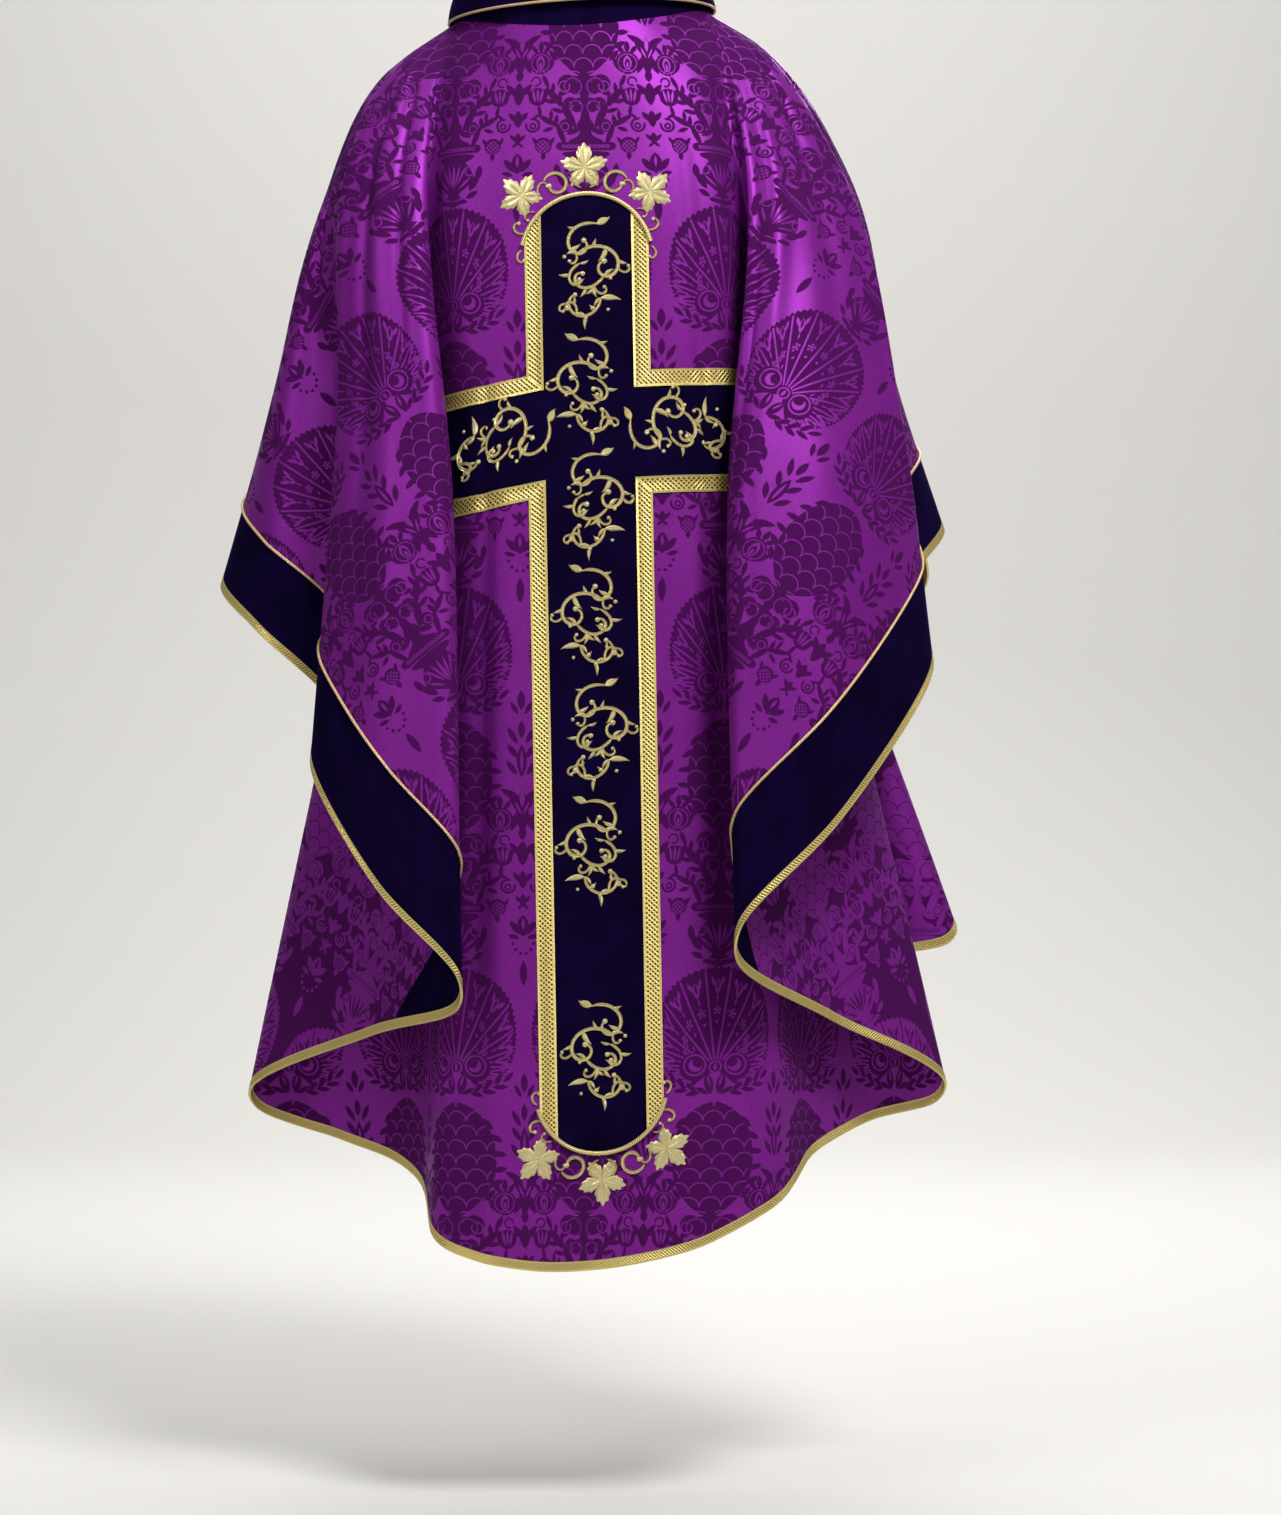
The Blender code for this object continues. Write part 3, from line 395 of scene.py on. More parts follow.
middleFigures = (    # hanging palmette, three tulips, small palmette and its drops
    ("add", "petal", 69, 98, 46, 13, 0), ("add", "petal", 62, 108, 30, 8, 30), ("add", "petal", 58, 116, 24, 7, 62),
    ("add", "petal", 62, 88, 22, 6, -28), ("cut", "petal", 69, 112, 18, 5, 0), ("cut", "petal", 65, 102, 14, 2.4, 26),
    ("add", "petal", 69, 76, 13, 8, 0), ("add", "petal", 69, 56, 25, 11.5, 0), ("add", "petal", 61.5, 60, 19, 6.5, 42),
    ("add", "petal", 69, 29, 18, 9, 0), ("add", "petal", 63.5, 31, 14, 5.5, 42), ("add", "petal", 69, 8, 13, 7, 0),
    ("add", "petal", 64.5, 9, 10, 4, 45), ("add", "petal", 66, 1.5, 7, 3, -50), ("add", "petal", 69, -18, 22, 12, 0),
    ("add", "petal", 61, -20, 18, 7, 40), ("add", "petal", 59, -29, 12, 5, 75), ("cut", "petal", 69, -16, 12, 3, 0),
    ("add", "circle", 61, -42, 1.9), ("add", "circle", 66, -46, 1.7), ("add", "circle", 58, -36, 1.6),
    ("add", "petal", 69, -66, 26, 8, 0),
)
vaseFigures = (
    ("add", "petal", 24, -36, 20, 8, -30), ("add", "petal", 29, -26, 16, 7, -8), ("add", "petal", 22, -49, 14, 6, -60),
    ("add", "circle", 26, 0, 4.2), ("cut", "petal", 0, -29, 26, 3.6, 0), ("cut", "petal", 5, -28, 24, 2.6, -14),
    ("cut", "petal", 10, -28, 22, 2.4, -26), ("cut", "ring", 19, -24, 4.6, 1.2), ("cut", "petal", 14, -36, 18, 2.4, -48),
    ("add", "petal", 9, -66, 10, 4, -30), ("cut", "petal", 9, -53, 16, 1.6, -78),
)
footFigures = (    # curls at the foot of the fan, laurel sprays and the sprigs between
    ("add", "circle", 21, -163, 14), ("add", "petal", 6, -180, 22, 9, -12), ("cut", "ring", 20, -161, 10.2, 1.7),
    ("cut", "crescent", 19, -161, 6.6, 16.5, -158, 5.4), ("cut", "circle", 0, -163, 6.6), ("add", "circle", 0, -163, 4.9),
    ("cut", "petal", 0, -163, 8, 3.4, 0), ("cut", "petal", 6, -177, 12, 2.2, -18), ("add", "petal", 12, -187, 15, 5, -62),
    ("add", "petal", 22, -184, 15, 5, -42), ("add", "petal", 21, -190, 14, 5, -102), ("add", "petal", 32, -180, 15, 5, -32),
    ("add", "petal", 33, -187, 15, 5, -96), ("add", "petal", 42, -174, 14, 5, -22), ("add", "petal", 44, -182, 15, 5, -88),
    ("add", "petal", 52, -172, 15, 5, -48), ("add", "petal", 69, -178, 20, 8, 0), ("add", "petal", 62, -186, 15, 5, 30),
    ("add", "petal", 69, 182, 18, 7, 0), ("add", "petal", 60, 176, 20, 6, 30), ("add", "petal", 69, 150, 34, 10, 0),
    ("cut", "petal", 69, 150, 22, 3, 0), ("add", "petal", 60, 160, 18, 6, 35), ("add", "petal", 59, 143, 18, 6, 35),
    ("add", "petal", 33, 98, 15, 6, -40), ("add", "petal", 39, 110, 15, 6, -60), ("add", "petal", 42, 124, 15, 6, -80),
    ("add", "petal", 42, 140, 15, 6, -100), ("add", "petal", 39, 156, 15, 6, -120), ("add", "petal", 32, 170, 15, 6, -140),
)
cone = {"place": (43, 0), "size": 6.8, "pitch": 2.3, "line": 0.55}
rim = {"half": 4.6, "end": 26.0, "pitch": 2.2, "ring": 1.5, "line": 0.9}
fan = {"centre": -165.0, "sector": 0.27, "tooth": 0.033, "toothRise": 90.0, "rib": 0.95, "margin": 4.0,
       "lineFrom": 10.0, "figuresFrom": 26.0, "reachAt": 0.8, "limit": 2.3, "top": 120.0,
       "edge": ((0, 105), (0.35, 101), (0.6, 93), (0.85, 80), (1.1, 69), (1.4, 58), (1.7, 48), (2.1, 36), (2.5, 22))}
sectorFigures = (    # one tulip and one small flower in each sector of the fan
    ("cut", "petal", 0, 0, 17, 6, 0), ("add", "petal", 0, 2, 11, 2.6, 0), ("cut", "petal", -4.6, 5, 12, 3.2, 22),
    ("cut", "petal", 4.6, 5, 12, 3.2, -22), ("cut", "petal", 0, -12, 8, 1.6, 0), ("cut", "circle", 0, -24, 1.5),
    ("cut", "circle", 0, -20.6, 1.3), ("cut", "circle", 2.8, -23, 1.3), ("cut", "circle", -2.8, -23, 1.3),
    ("cut", "circle", 1.8, -27, 1.3), ("cut", "circle", -1.8, -27, 1.3), ("cut", "circle", 0, -36, 1.4),
)


def shapeEdge(tree, spot, kind, x, y, *sizes):    # distance past a shape's edge, below zero inside it
    if kind == "petal":    # where two discs overlap
        length, width, turn = sizes
        radius = (length**2 + width**2) / (4 * width)
        aside = (radius - width / 2) * math.cos(math.radians(turn))
        up = (radius - width / 2) * math.sin(math.radians(turn))
        one = addNode(tree, "VectorMath", spot, (x + aside, y + up, 0), operation="DISTANCE")
        other = addNode(tree, "VectorMath", spot, (x - aside, y - up, 0), operation="DISTANCE")
        return addNode(tree, "Math", addNode(tree, "Math", one, other, operation="MAXIMUM"), radius, operation="SUBTRACT")
    away = addNode(tree, "VectorMath", spot, (x, y, 0), operation="DISTANCE")
    edge = addNode(tree, "Math", away, sizes[0], operation="SUBTRACT")
    if kind == "ring":
        return addNode(tree, "Math", addNode(tree, "Math", edge, operation="ABSOLUTE"), sizes[1] / 2, operation="SUBTRACT")
    if kind == "crescent":
        other = addNode(tree, "VectorMath", spot, (*sizes[1:3], 0), operation="DISTANCE")
        return addNode(tree, "Math", edge, addNode(tree, "Math", sizes[3], other, operation="SUBTRACT"), operation="MAXIMUM")
    return edge


def drawn(tree, edge, rows, spot):    # adds and cuts the rows' shapes, in order
    for way, *shape in rows:
        own = shapeEdge(tree, spot, *shape)
        if way == "cut":
            own = addNode(tree, "Math", own, -1.0, operation="MULTIPLY")
        edge = addNode(tree, "Math", edge, own, operation="MINIMUM" if way == "add" else "MAXIMUM")
    return edge


def profile(tree, at, points, top):    # a smooth line through these points, as a value
    start, end = points[0][0], points[-1][0]
    curve = addNode(tree, "FloatCurve", 1.0, addNode(tree, "MapRange", at, start, end, 0.0, 1.0))
    line = curve.mapping.curves[0]
    for place, value in points[1:-1]:
        line.points.new((place - start) / (end - start), 0.5 + value / top / 2)
    line.points[0].location = (0, 0.5 + points[0][1] / top / 2)
    line.points[-1].location = (1, 0.5 + points[-1][1] / top / 2)
    curve.mapping.update()
    return addNode(tree, "MapRange", curve, 0.0, 1.0, -top, top)


def damaskFigure(tree, x, y):    # 1 in the woven figures and 0 on the satin ground
    high = repeat["height"] / 2
    x = addNode(tree, "Math", x, repeat["half"], operation="PINGPONG")
    y = addNode(tree, "Math", y, repeat["rimBelowNeck"], operation="ADD")
    y = addNode(tree, "Math", y, -high, high, operation="WRAP")
    spot = addNode(tree, "CombineXYZ", x, y, 0.0)
    edge = repeat["far"]
    for points in (treeTrunk, vaseSide):
        side = addNode(tree, "Math", x, profile(tree, y, points, repeat["half"]), operation="SUBTRACT")
        edge = addNode(tree, "Math", edge, side, operation="MINIMUM")
    side = addNode(tree, "Math", x, profile(tree, y, scaleGroup, repeat["half"]), operation="SUBTRACT")
    side = addNode(tree, "Math", side, scaleLines(tree, x, y), operation="MAXIMUM")
    edge = addNode(tree, "Math", edge, side, operation="MINIMUM")
    edge = drawn(tree, edge, (*treeFigures, *flowerFigures, *middleFigures), spot)
    edge = coneLattice(tree, edge, x, y, spot)
    edge = drawn(tree, edge, vaseFigures, spot)
    edge = vaseRim(tree, edge, x, y)
    edge = addNode(tree, "Math", edge, fanEdge(tree, spot), operation="MINIMUM")
    edge = drawn(tree, edge, footFigures, spot)
    return addNode(tree, "MapRange", edge, repeat["soft"], -repeat["soft"], 0.0, 1.0)


def scaleLines(tree, x, y):    # the light lines round the scales, every other row half a scale aside
    row, half = scales["row"], scales["width"] / 2
    lines = repeat["far"]
    for k in (0, 1):
        up = addNode(tree, "Math", y, scales["start"] + (20 + k) * row, operation="ADD")
        up = addNode(tree, "Math", up, 2 * row, operation="MODULO")
        aside = addNode(tree, "Math", x, k * half, operation="ADD")
        aside = addNode(tree, "Math", aside, half, operation="PINGPONG")
        away = addNode(tree, "VectorMath", addNode(tree, "CombineXYZ", aside, up, 0.0), operation="LENGTH")
        arc = addNode(tree, "Math", away, half, operation="SUBTRACT")
        arc = addNode(tree, "Math", arc, operation="ABSOLUTE")
        over = addNode(tree, "Math", up, row, operation="GREATER_THAN")
        arc = addNode(tree, "Math", over, repeat["far"], arc, operation="MULTIPLY_ADD")
        lines = addNode(tree, "Math", lines, arc, operation="MINIMUM")
    return addNode(tree, "Math", scales["line"], lines, operation="SUBTRACT")


def coneLattice(tree, edge, x, y, spot):    # crossing light lines inside the cone
    away = addNode(tree, "Math", shapeEdge(tree, spot, "circle", *cone["place"], cone["size"]), -1.0, operation="MULTIPLY")
    for way in ("ADD", "SUBTRACT"):
        line = addNode(tree, "Math", x, y, operation=way)
        line = addNode(tree, "Math", line, cone["pitch"], operation="PINGPONG")
        line = addNode(tree, "Math", cone["line"], line, operation="SUBTRACT")
        line = addNode(tree, "Math", line, away, operation="MINIMUM")
        edge = addNode(tree, "Math", edge, line, operation="MAXIMUM")
    return edge


def vaseRim(tree, edge, x, y):    # a bar with a row of small light rings
    bar = addNode(tree, "Math", addNode(tree, "Math", y, operation="ABSOLUTE"), rim["half"], operation="SUBTRACT")
    end = addNode(tree, "Math", x, rim["end"], operation="SUBTRACT")
    bar = addNode(tree, "Math", bar, end, operation="MAXIMUM")
    cell = addNode(tree, "CombineXYZ", addNode(tree, "Math", x, rim["pitch"], operation="PINGPONG"), y, 0.0)
    ring = shapeEdge(tree, cell, "ring", 0, 0, rim["ring"], rim["line"])
    ring = addNode(tree, "Math", ring, addNode(tree, "Math", end, 2.0, operation="ADD"), operation="MAXIMUM")
    edge = addNode(tree, "Math", edge, bar, operation="MINIMUM")
    return addNode(tree, "Math", edge, addNode(tree, "Math", ring, -1.0, operation="MULTIPLY"), operation="MAXIMUM")


def fanEdge(tree, spot):    # toothed fan with light ribs and a tulip in each sector
    local = addNode(tree, "VectorMath", spot, (0, -fan["centre"], 0), operation="ADD")
    out = addNode(tree, "VectorMath", local, operation="LENGTH")
    parts = addNode(tree, "SeparateXYZ", local)
    angle = addNode(tree, "Math", parts.outputs[0], parts.outputs[1], operation="ARCTAN2")
    reach = profile(tree, angle, fan["edge"], fan["top"])
    tooth = addNode(tree, "Math", angle, fan["tooth"], operation="PINGPONG")
    tooth = addNode(tree, "Math", tooth, fan["toothRise"], reach, operation="MULTIPLY_ADD")
    edge = addNode(tree, "Math", out, tooth, operation="SUBTRACT")
    edge = addNode(tree, "Math", edge, fan["toothRise"] * fan["tooth"], operation="ADD")
    low = addNode(tree, "Math", angle, fan["limit"], operation="SUBTRACT")
    edge = addNode(tree, "Math", edge, addNode(tree, "Math", low, 30.0, operation="MULTIPLY"), operation="MAXIMUM")
    half = fan["sector"] / 2
    aside = addNode(tree, "Math", angle, -half, half, operation="WRAP")
    rib = addNode(tree, "Math", half, addNode(tree, "Math", aside, operation="ABSOLUTE"), operation="SUBTRACT")
    rib = addNode(tree, "Math", rib, out, operation="MULTIPLY")
    rib = addNode(tree, "Math", fan["rib"], rib, operation="SUBTRACT")
    rib = addNode(tree, "Math", rib, addNode(tree, "Math", out, fan["lineFrom"], operation="SUBTRACT"), operation="MINIMUM")
    outer = addNode(tree, "Math", reach, out, operation="SUBTRACT")
    outer = addNode(tree, "Math", outer, fan["margin"], operation="SUBTRACT")
    rib = addNode(tree, "Math", rib, outer, operation="MINIMUM")
    edge = addNode(tree, "Math", edge, rib, operation="MAXIMUM")
    sectorX = addNode(tree, "Math", aside, out, operation="MULTIPLY")
    sectorY = addNode(tree, "Math", reach, -fan["reachAt"], out, operation="MULTIPLY_ADD")
    filled = drawn(tree, edge, sectorFigures, addNode(tree, "CombineXYZ", sectorX, sectorY, 0.0))
    return addNode(tree, "Mix", addNode(tree, "Math", out, fan["figuresFrom"], operation="GREATER_THAN"), edge, filled)


damaskLook = {"satin": "#8a289a", "satinShade": "#781c88", "figure": "#46024f", "thread": 1.1}    # real threads 0.3 mm


def damaskMaterial(name, reverse):    # rayon damask, woven: bright satin ground, matt figures, changed over on the back
    made, tree, shader = newMaterial(name, Specular_IOR_Level=0.15, Sheen_Weight=0.03, Sheen_Roughness=0.45,
                                     Sheen_Tint=linear("#a030c0"))
    spot = addNode(tree, "Attribute", attribute_name="clothMm").outputs["Vector"]
    parts = addNode(tree, "SeparateXYZ", spot)
    figure = damaskFigure(tree, parts.outputs[0], parts.outputs[1])
    if reverse:
        figure = addNode(tree, "Math", 1.0, figure, operation="SUBTRACT")
    cloud = addNode(tree, "TexNoise", spot, named={"Scale": 0.014, "Detail": 3.0})
    ground = addNode(tree, "Mix", cloud, linear(damaskLook["satin"]), linear(damaskLook["satinShade"]), data_type="RGBA")
    colour = addNode(tree, "Mix", figure, ground, linear(damaskLook["figure"]), data_type="RGBA")
    stretched = addNode(tree, "VectorMath", spot, (0.22, 1.0 / damaskLook["thread"], 1.0), operation="MULTIPLY")
    threads = addNode(tree, "TexNoise", stretched, named={"Scale": 1.0, "Detail": 2.0})    # weft, drawn coarser
    streak = addNode(tree, "MapRange", threads, 0.3, 0.7, 0.82, 1.12)
    colour = addNode(tree, "VectorMath", colour, streak, operation="SCALE")
    tree.links.new(colour.outputs[0], shader.inputs["Base Color"])
    rough = addNode(tree, "MapRange", figure, 0.0, 1.0, 0.43, 0.85)
    rough = addNode(tree, "Math", threads, 0.10, rough, operation="MULTIPLY_ADD")
    tree.links.new(rough.outputs[0], shader.inputs["Roughness"])
    metal = addNode(tree, "MapRange", figure, 0.0, 1.0, 0.42, 0.05)    # satin floats throw coloured light
    tree.links.new(metal.outputs[0], shader.inputs["Metallic"])
    bump = addNode(tree, "Bump", named={"Strength": 0.25, "Distance": 0.0002, "Height": threads})
    tree.links.new(bump.outputs[0], shader.inputs["Normal"])
    return made


def velvetMaterial(name):    # silk velvet, cut pile: near black face on, a violet bloom where it turns away, and a painted sheen in the base colour where the pile is brushed
    made, tree, shader = newMaterial(name, Roughness=0.9, Sheen_Weight=0.12, Sheen_Roughness=0.3,
                                     Sheen_Tint=linear("#4a14b4"), Specular_IOR_Level=0.03)
    spot = addNode(tree, "Attribute", attribute_name="clothMm").outputs["Vector"]
    brushedSheen = addNode(tree, "TexNoise", spot, named={"Scale": 0.02, "Detail": 3.0})
    pile = addNode(tree, "TexNoise", spot, named={"Scale": 1.2, "Detail": 4.0, "Roughness": 0.7})
    # painted sheen: broad noise patches stand for brushed pile catching the light, mixed with the fine pile noise,
    # which is the pile's own texture; together they lighten the base colour
    napSheen = addNode(tree, "Math", brushedSheen, 0.6, operation="MULTIPLY")
    napSheen = addNode(tree, "Math", pile, 0.4, napSheen, operation="MULTIPLY_ADD")
    part = addNode(tree, "MapRange", napSheen, 0.35, 0.65, 0.0, 1.0)
    colour = addNode(tree, "Mix", part, linear("#07011a"), linear("#100430"), data_type="RGBA")
    tree.links.new(colour.outputs[2], shader.inputs["Base Color"])
    bump = addNode(tree, "Bump", named={"Strength": 0.4, "Distance": 0.0004, "Height": pile})
    tree.links.new(bump.outputs[0], shader.inputs["Normal"])
    return made


def laceMaterial(name, width, pitch, border):    # woven metal lace: raised lozenge lattice between plain borders; the colour carries a painted highlight on the raised threads and painted shade in the hollows
    made, tree, shader = newMaterial(name, Metallic=0.6, Roughness=0.42)
    spot = addNode(tree, "Attribute", attribute_name="clothMm").outputs["Vector"]
    parts = addNode(tree, "SeparateXYZ", spot)
    along = parts.outputs[0]
    across = addNode(tree, "Math", parts.outputs[1], width / 2, operation="SUBTRACT")
    lattice = width
    for way in ("ADD", "SUBTRACT"):
        line = addNode(tree, "Math", along, across, operation=way)
        line = addNode(tree, "Math", line, pitch / 2, operation="PINGPONG")
        lattice = addNode(tree, "Math", lattice, line, operation="MINIMUM")
    raised = addNode(tree, "MapRange", lattice, 0.0, pitch * 0.26, 1.0, 0.0)
    ribs = addNode(tree, "Math", along, 0.7, operation="PINGPONG")
    ribs = addNode(tree, "MapRange", ribs, 0.0, 0.7, 0.35, 0.95)
    edge = addNode(tree, "Math", across, operation="ABSOLUTE")
    edge = addNode(tree, "MapRange", edge, width / 2 - border - 0.3, width / 2 - border + 0.3, 0.0, 1.0)
    height = addNode(tree, "Mix", edge, raised, ribs)
    # painted highlight and shade: the relief height sets the colour, raised parts pale and hollows dark, broken into
    # patches by noise
    glintPatches = addNode(tree, "TexNoise", spot, named={"Scale": 0.8, "Detail": 4.0})
    part = addNode(tree, "Math", glintPatches, 0.35, height, operation="MULTIPLY_ADD")
    part = addNode(tree, "MapRange", part, 0.15, 1.1, 0.0, 1.0)
    colour = addNode(tree, "Mix", part, linear("#6e4c10"), linear("#fbe890"), data_type="RGBA")
    tree.links.new(colour.outputs[2], shader.inputs["Base Color"])
    bump = addNode(tree, "Bump", named={"Strength": 0.8, "Distance": 0.0006, "Height": height})
    tree.links.new(bump.outputs[0], shader.inputs["Normal"])
    return made


def threadMaterial(name, dark, light, pitch, slant, metallic):    # metal thread laid side by side, with a painted highlight and painted shade across each thread where the light breaks on it
    made, tree, shader = newMaterial(name, Metallic=metallic, Roughness=0.4)
    spot = addNode(tree, "Attribute", attribute_name="clothMm").outputs["Vector"]
    parts = addNode(tree, "SeparateXYZ", spot)
    turned = addNode(tree, "Math", parts.outputs[1], slant, parts.outputs[0], operation="MULTIPLY_ADD")
    ply = addNode(tree, "Math", turned, pitch / 2, operation="PINGPONG")
    ply = addNode(tree, "MapRange", ply, 0.0, pitch / 2, 0.0, 1.0)
    # noise that breaks the painted highlights and shade of the threads into patches
    glintPatches = addNode(tree, "TexNoise", spot, named={"Scale": 0.5, "Detail": 3.0})
    part = addNode(tree, "Math", glintPatches, 0.5, ply, operation="MULTIPLY_ADD")
    part = addNode(tree, "MapRange", part, 0.2, 1.1, 0.0, 1.0)
    colour = addNode(tree, "Mix", part, linear(dark), linear(light), data_type="RGBA")
    tree.links.new(colour.outputs[2], shader.inputs["Base Color"])
    bump = addNode(tree, "Bump", named={"Strength": 0.7, "Distance": 0.0004, "Height": ply})
    tree.links.new(bump.outputs[0], shader.inputs["Normal"])
    return made


damask = damaskMaterial("rayon damask, woven, face", False)
damaskBack = damaskMaterial("rayon damask, woven, back", True)
velvet = velvetMaterial("silk velvet, cut pile")
edgeLace = laceMaterial("gold galloon, woven, narrow", 10.0, 3.2, 1.6)
crossLace = laceMaterial("gold galloon, woven lozenges", 17.4, 5.0, 2.4)
goldThread = threadMaterial("gold thread, satin stitched", "#8e7424", "#fff4bc", 1.0, 0.0, 0.5)    # real stitches 0.4 mm apart
cordLook = threadMaterial("pale gold cord, twisted", "#a8743e", "#f6d8a4", 2.4, 1.0, 0.35)
archCordLook = threadMaterial("gold cord, twisted", "#9a7a30", "#f7e6a6", 3.0, 1.0, 0.5)
print("materials made")


# Damask panels
panelLook = {"wall": 1.4, "columnSpacing": 6.5, "rows": 118, "leastBand": 14.0, "edgeLace": 10.0}


def bandLimits(seam):
    fine = np.linspace(seam - 10, seam + 10, 4001)
    broad = fine[bandWidth(fine) > panelLook["leastBand"]]
    return broad[0], broad[-1]


leftBand, rightBand = bandLimits(leftSeam), bandLimits(rightSeam)
behind = rightBand[1] - ringCount


def asSheet(flat, net, faces):    # works out the flat's width and length and the net in metres, and keeps nothing
    net = np.reshape(net, (-1, net.shape[-1])) * mm
    width, length = (np.ptp(np.reshape(flat, (-1, 2)), axis=0) * mm).tolist()


def panel(name, start, end, centre, node):
    across = columnsAcross(start, end, panelLook["columnSpacing"])
    band = bandWidth(across)
    stop = np.where(band > panelLook["leastBand"], band, panelLook["edgeLace"])
    down = np.linspace(0, 1, panelLook["rows"])[:, None] * downAt(across, stop)[None, :]
    grid = np.broadcast_to(across, down.shape)
    flat = flatPlaces(grid, down, centre)
    made = shell(name, cloth(grid, down), outward(grid, down), np.stack(flat, axis=-1), panelLook["wall"],
                 [damask, damaskBack])
    flat = np.stack(flat, axis=-1)
    asSheet(flat, flat, netFaces(*grid.shape))
    return placed(made, "damask", node)


backDamask = panel("backDamask", rightSeam - ringCount, leftSeam, 0, "back_panel")
frontDamask = panel("frontDamask", leftSeam, rightSeam, centreFront, "front_panel")
print("damask panels made")


# Velvet bands, piping and lace along the edges
bandLook = {"wall": 1.8, "rows": 14, "pipingRadius": 1.5, "laceWall": 2.6, "laceRows": 5}


def alongEdge(start, end, spacing=7.0):
    across = columnsAcross(start, end, spacing)
    edge = cloth(across, np.full(across.shape, 4.0))
    return across, np.concatenate([[0], np.cumsum(np.linalg.norm(np.diff(edge, axis=0), axis=1))])


def edgeStrip(name, start, end, fromEdge, toEdge, rows, wall, looks):
    across, along = alongEdge(start, end)
    top, low = downAt(across, fromEdge(across)), downAt(across, np.full(len(across), toEdge))
    parts = np.linspace(0, 1, rows)[:, None]
    down = top[None, :] * (1 - parts) + low[None, :] * parts
    coords = np.stack(np.broadcast_arrays(along[None, :], parts * (fromEdge(across) - toEdge)[None, :]), axis=-1)
    points = cloth(across[None, :], down)
    made = shell(name, points, outward(across[None, :], down), coords, wall, looks)
    asSheet(coords, points, netFaces(*down.shape))
    return made


def velvetBand(name, start, end, node):
    made = edgeStrip(name, start, end, bandWidth, panelLook["edgeLace"] - 1.0, bandLook["rows"], bandLook["wall"], [velvet])
    return placed(made, "velvet", node)


def edgeGalloon(name, start, end, node):
    made = edgeStrip(name, start, end, lambda across: np.full(len(across), panelLook["edgeLace"]), 0.0,
                     bandLook["laceRows"], bandLook["laceWall"], [edgeLace])
    return placed(made, "edge_galloon", node)


def bandPiping(name, start, end, node):
    across = columnsAcross(start, end, 6.0)
    down = downAt(across, bandWidth(across))
    lift = bandLook["wall"] / 2 + bandLook["pipingRadius"] * 0.8
    made = tube(name, cloth(across, down) + lift * outward(across, down), bandLook["pipingRadius"], cordLook)
    return placed(made, "piping", node)


velvetBand("leftVelvetBand", *leftBand, "left_sleeve_band")
velvetBand("rightVelvetBand", *rightBand, "right_sleeve_band")
bandPiping("leftBandPiping", *leftBand, "left_band_piping")
bandPiping("rightBandPiping", *rightBand, "right_band_piping")
edgeGalloon("backHemLace", behind, leftBand[0], "back_hem_galloon")
edgeGalloon("frontHemLace", leftBand[1], rightBand[0], "front_hem_galloon")
edgeGalloon("leftSleeveLace", *leftBand, "left_sleeve_galloon")
edgeGalloon("rightSleeveLace", *rightBand, "right_sleeve_galloon")
print("bands, piping and edge lace made")


# Orphrey cross: sizes in millimetres from where its middle lines meet
cross = {"x": 10.0, "z": -458.0, "uprightLean": 0.018, "armRise": 0.035, "footRise": 0.055, "leftArmDrop": 0.17,
         "half": 46.0, "archUp": 178.0, "archDown": -667.0, "archRadius": 67.5, "cordRadius": 2.2, "squareTo": 64.0,
         "blend": 40.0, "armEnd": 4.0, "endLace": (4.01, 4.33), "step": 4.6}
layers = {"velvet": 1.9, "velvetWall": 1.4, "laceWall": 0.9, "threadBase": 2.4}


def crossRise(aside, up):    # level lines of the cross hang a little with the cloth
    rise = cross["armRise"] + cross["footRise"] * np.clip(up / cross["archDown"], 0, 1)
    drop = cross["leftArmDrop"] * np.clip(-aside - cross["half"], 0, None) * (np.abs(up) < 2 * cross["half"])
    return rise * aside - drop


def onColumn(across, up):    # rows down where a column of the back meets this height on the cross
    down = np.full(np.broadcast(across, up).shape, 2.8)
    for _ in range(12):
        here = smoothCloth(across, down)
        slope = (smoothCloth(across, down + 0.01) - here)[..., 2] / 0.01
        aside = here[..., 0] - cross["x"] + cross["uprightLean"] * up
        down = np.clip(down + (cross["z"] + up + crossRise(aside, up) - here[..., 2]) / slope, 1.0, 4.0)
    return down


def onBack(aside, up):    # places across and down the back, at sizes measured on the cross
    x = cross["x"] + aside - cross["uprightLean"] * up
    z = cross["z"] + up + crossRise(aside, up)
    across = np.interp(-x, [-200, 0, 146], [-2.5, 0, 2.5])
    down = np.interp(-z, [100, 167, 525, 1313], [1, 2, 3, 4])
    for _ in range(14):
        here = smoothCloth(across, down)
        byAcross = (smoothCloth(across + 0.01, down) - here) / 0.01
        byDown = (smoothCloth(across, down + 0.01) - here) / 0.01
        missX, missZ = x - here[..., 0], z - here[..., 2]
        scale = byAcross[..., 0] * byDown[..., 2] - byDown[..., 0] * byAcross[..., 2]
        across = np.clip(across + (missX * byDown[..., 2] - missZ * byDown[..., 0]) / scale, -4.5, 4.5)
        down = np.clip(down + (missZ * byAcross[..., 0] - missX * byAcross[..., 2]) / scale, 0.2, 4.0)
    return across, down


def armMiddle(sign):    # distance out along the middle of an arm, and the columns it crosses
    across = -sign * np.linspace(0.6, 4.4, 400)
    points = smoothCloth(across, onColumn(across, 0.0))
    gone = np.concatenate([[0], np.cumsum(np.linalg.norm(np.diff(points, axis=0), axis=1))])
    start = np.interp(cross["squareTo"], sign * (points[:, 0] - cross["x"]), gone)
    return gone - start + cross["squareTo"], across


armLines = {sign: armMiddle(sign) for sign in (-1, 1)}


def onArm(aside, up):
    square = onBack(np.clip(aside, -110, 110), up)
    column = np.where(aside < 0, np.interp(-aside, *armLines[-1]), np.interp(aside, *armLines[1]))
    part = np.clip((np.abs(aside) - cross["squareTo"]) / cross["blend"], 0, 1)
    part = part * part * (3 - 2 * part)
    return square[0] * (1 - part) + column * part, square[1] * (1 - part) + onColumn(column, up) * part


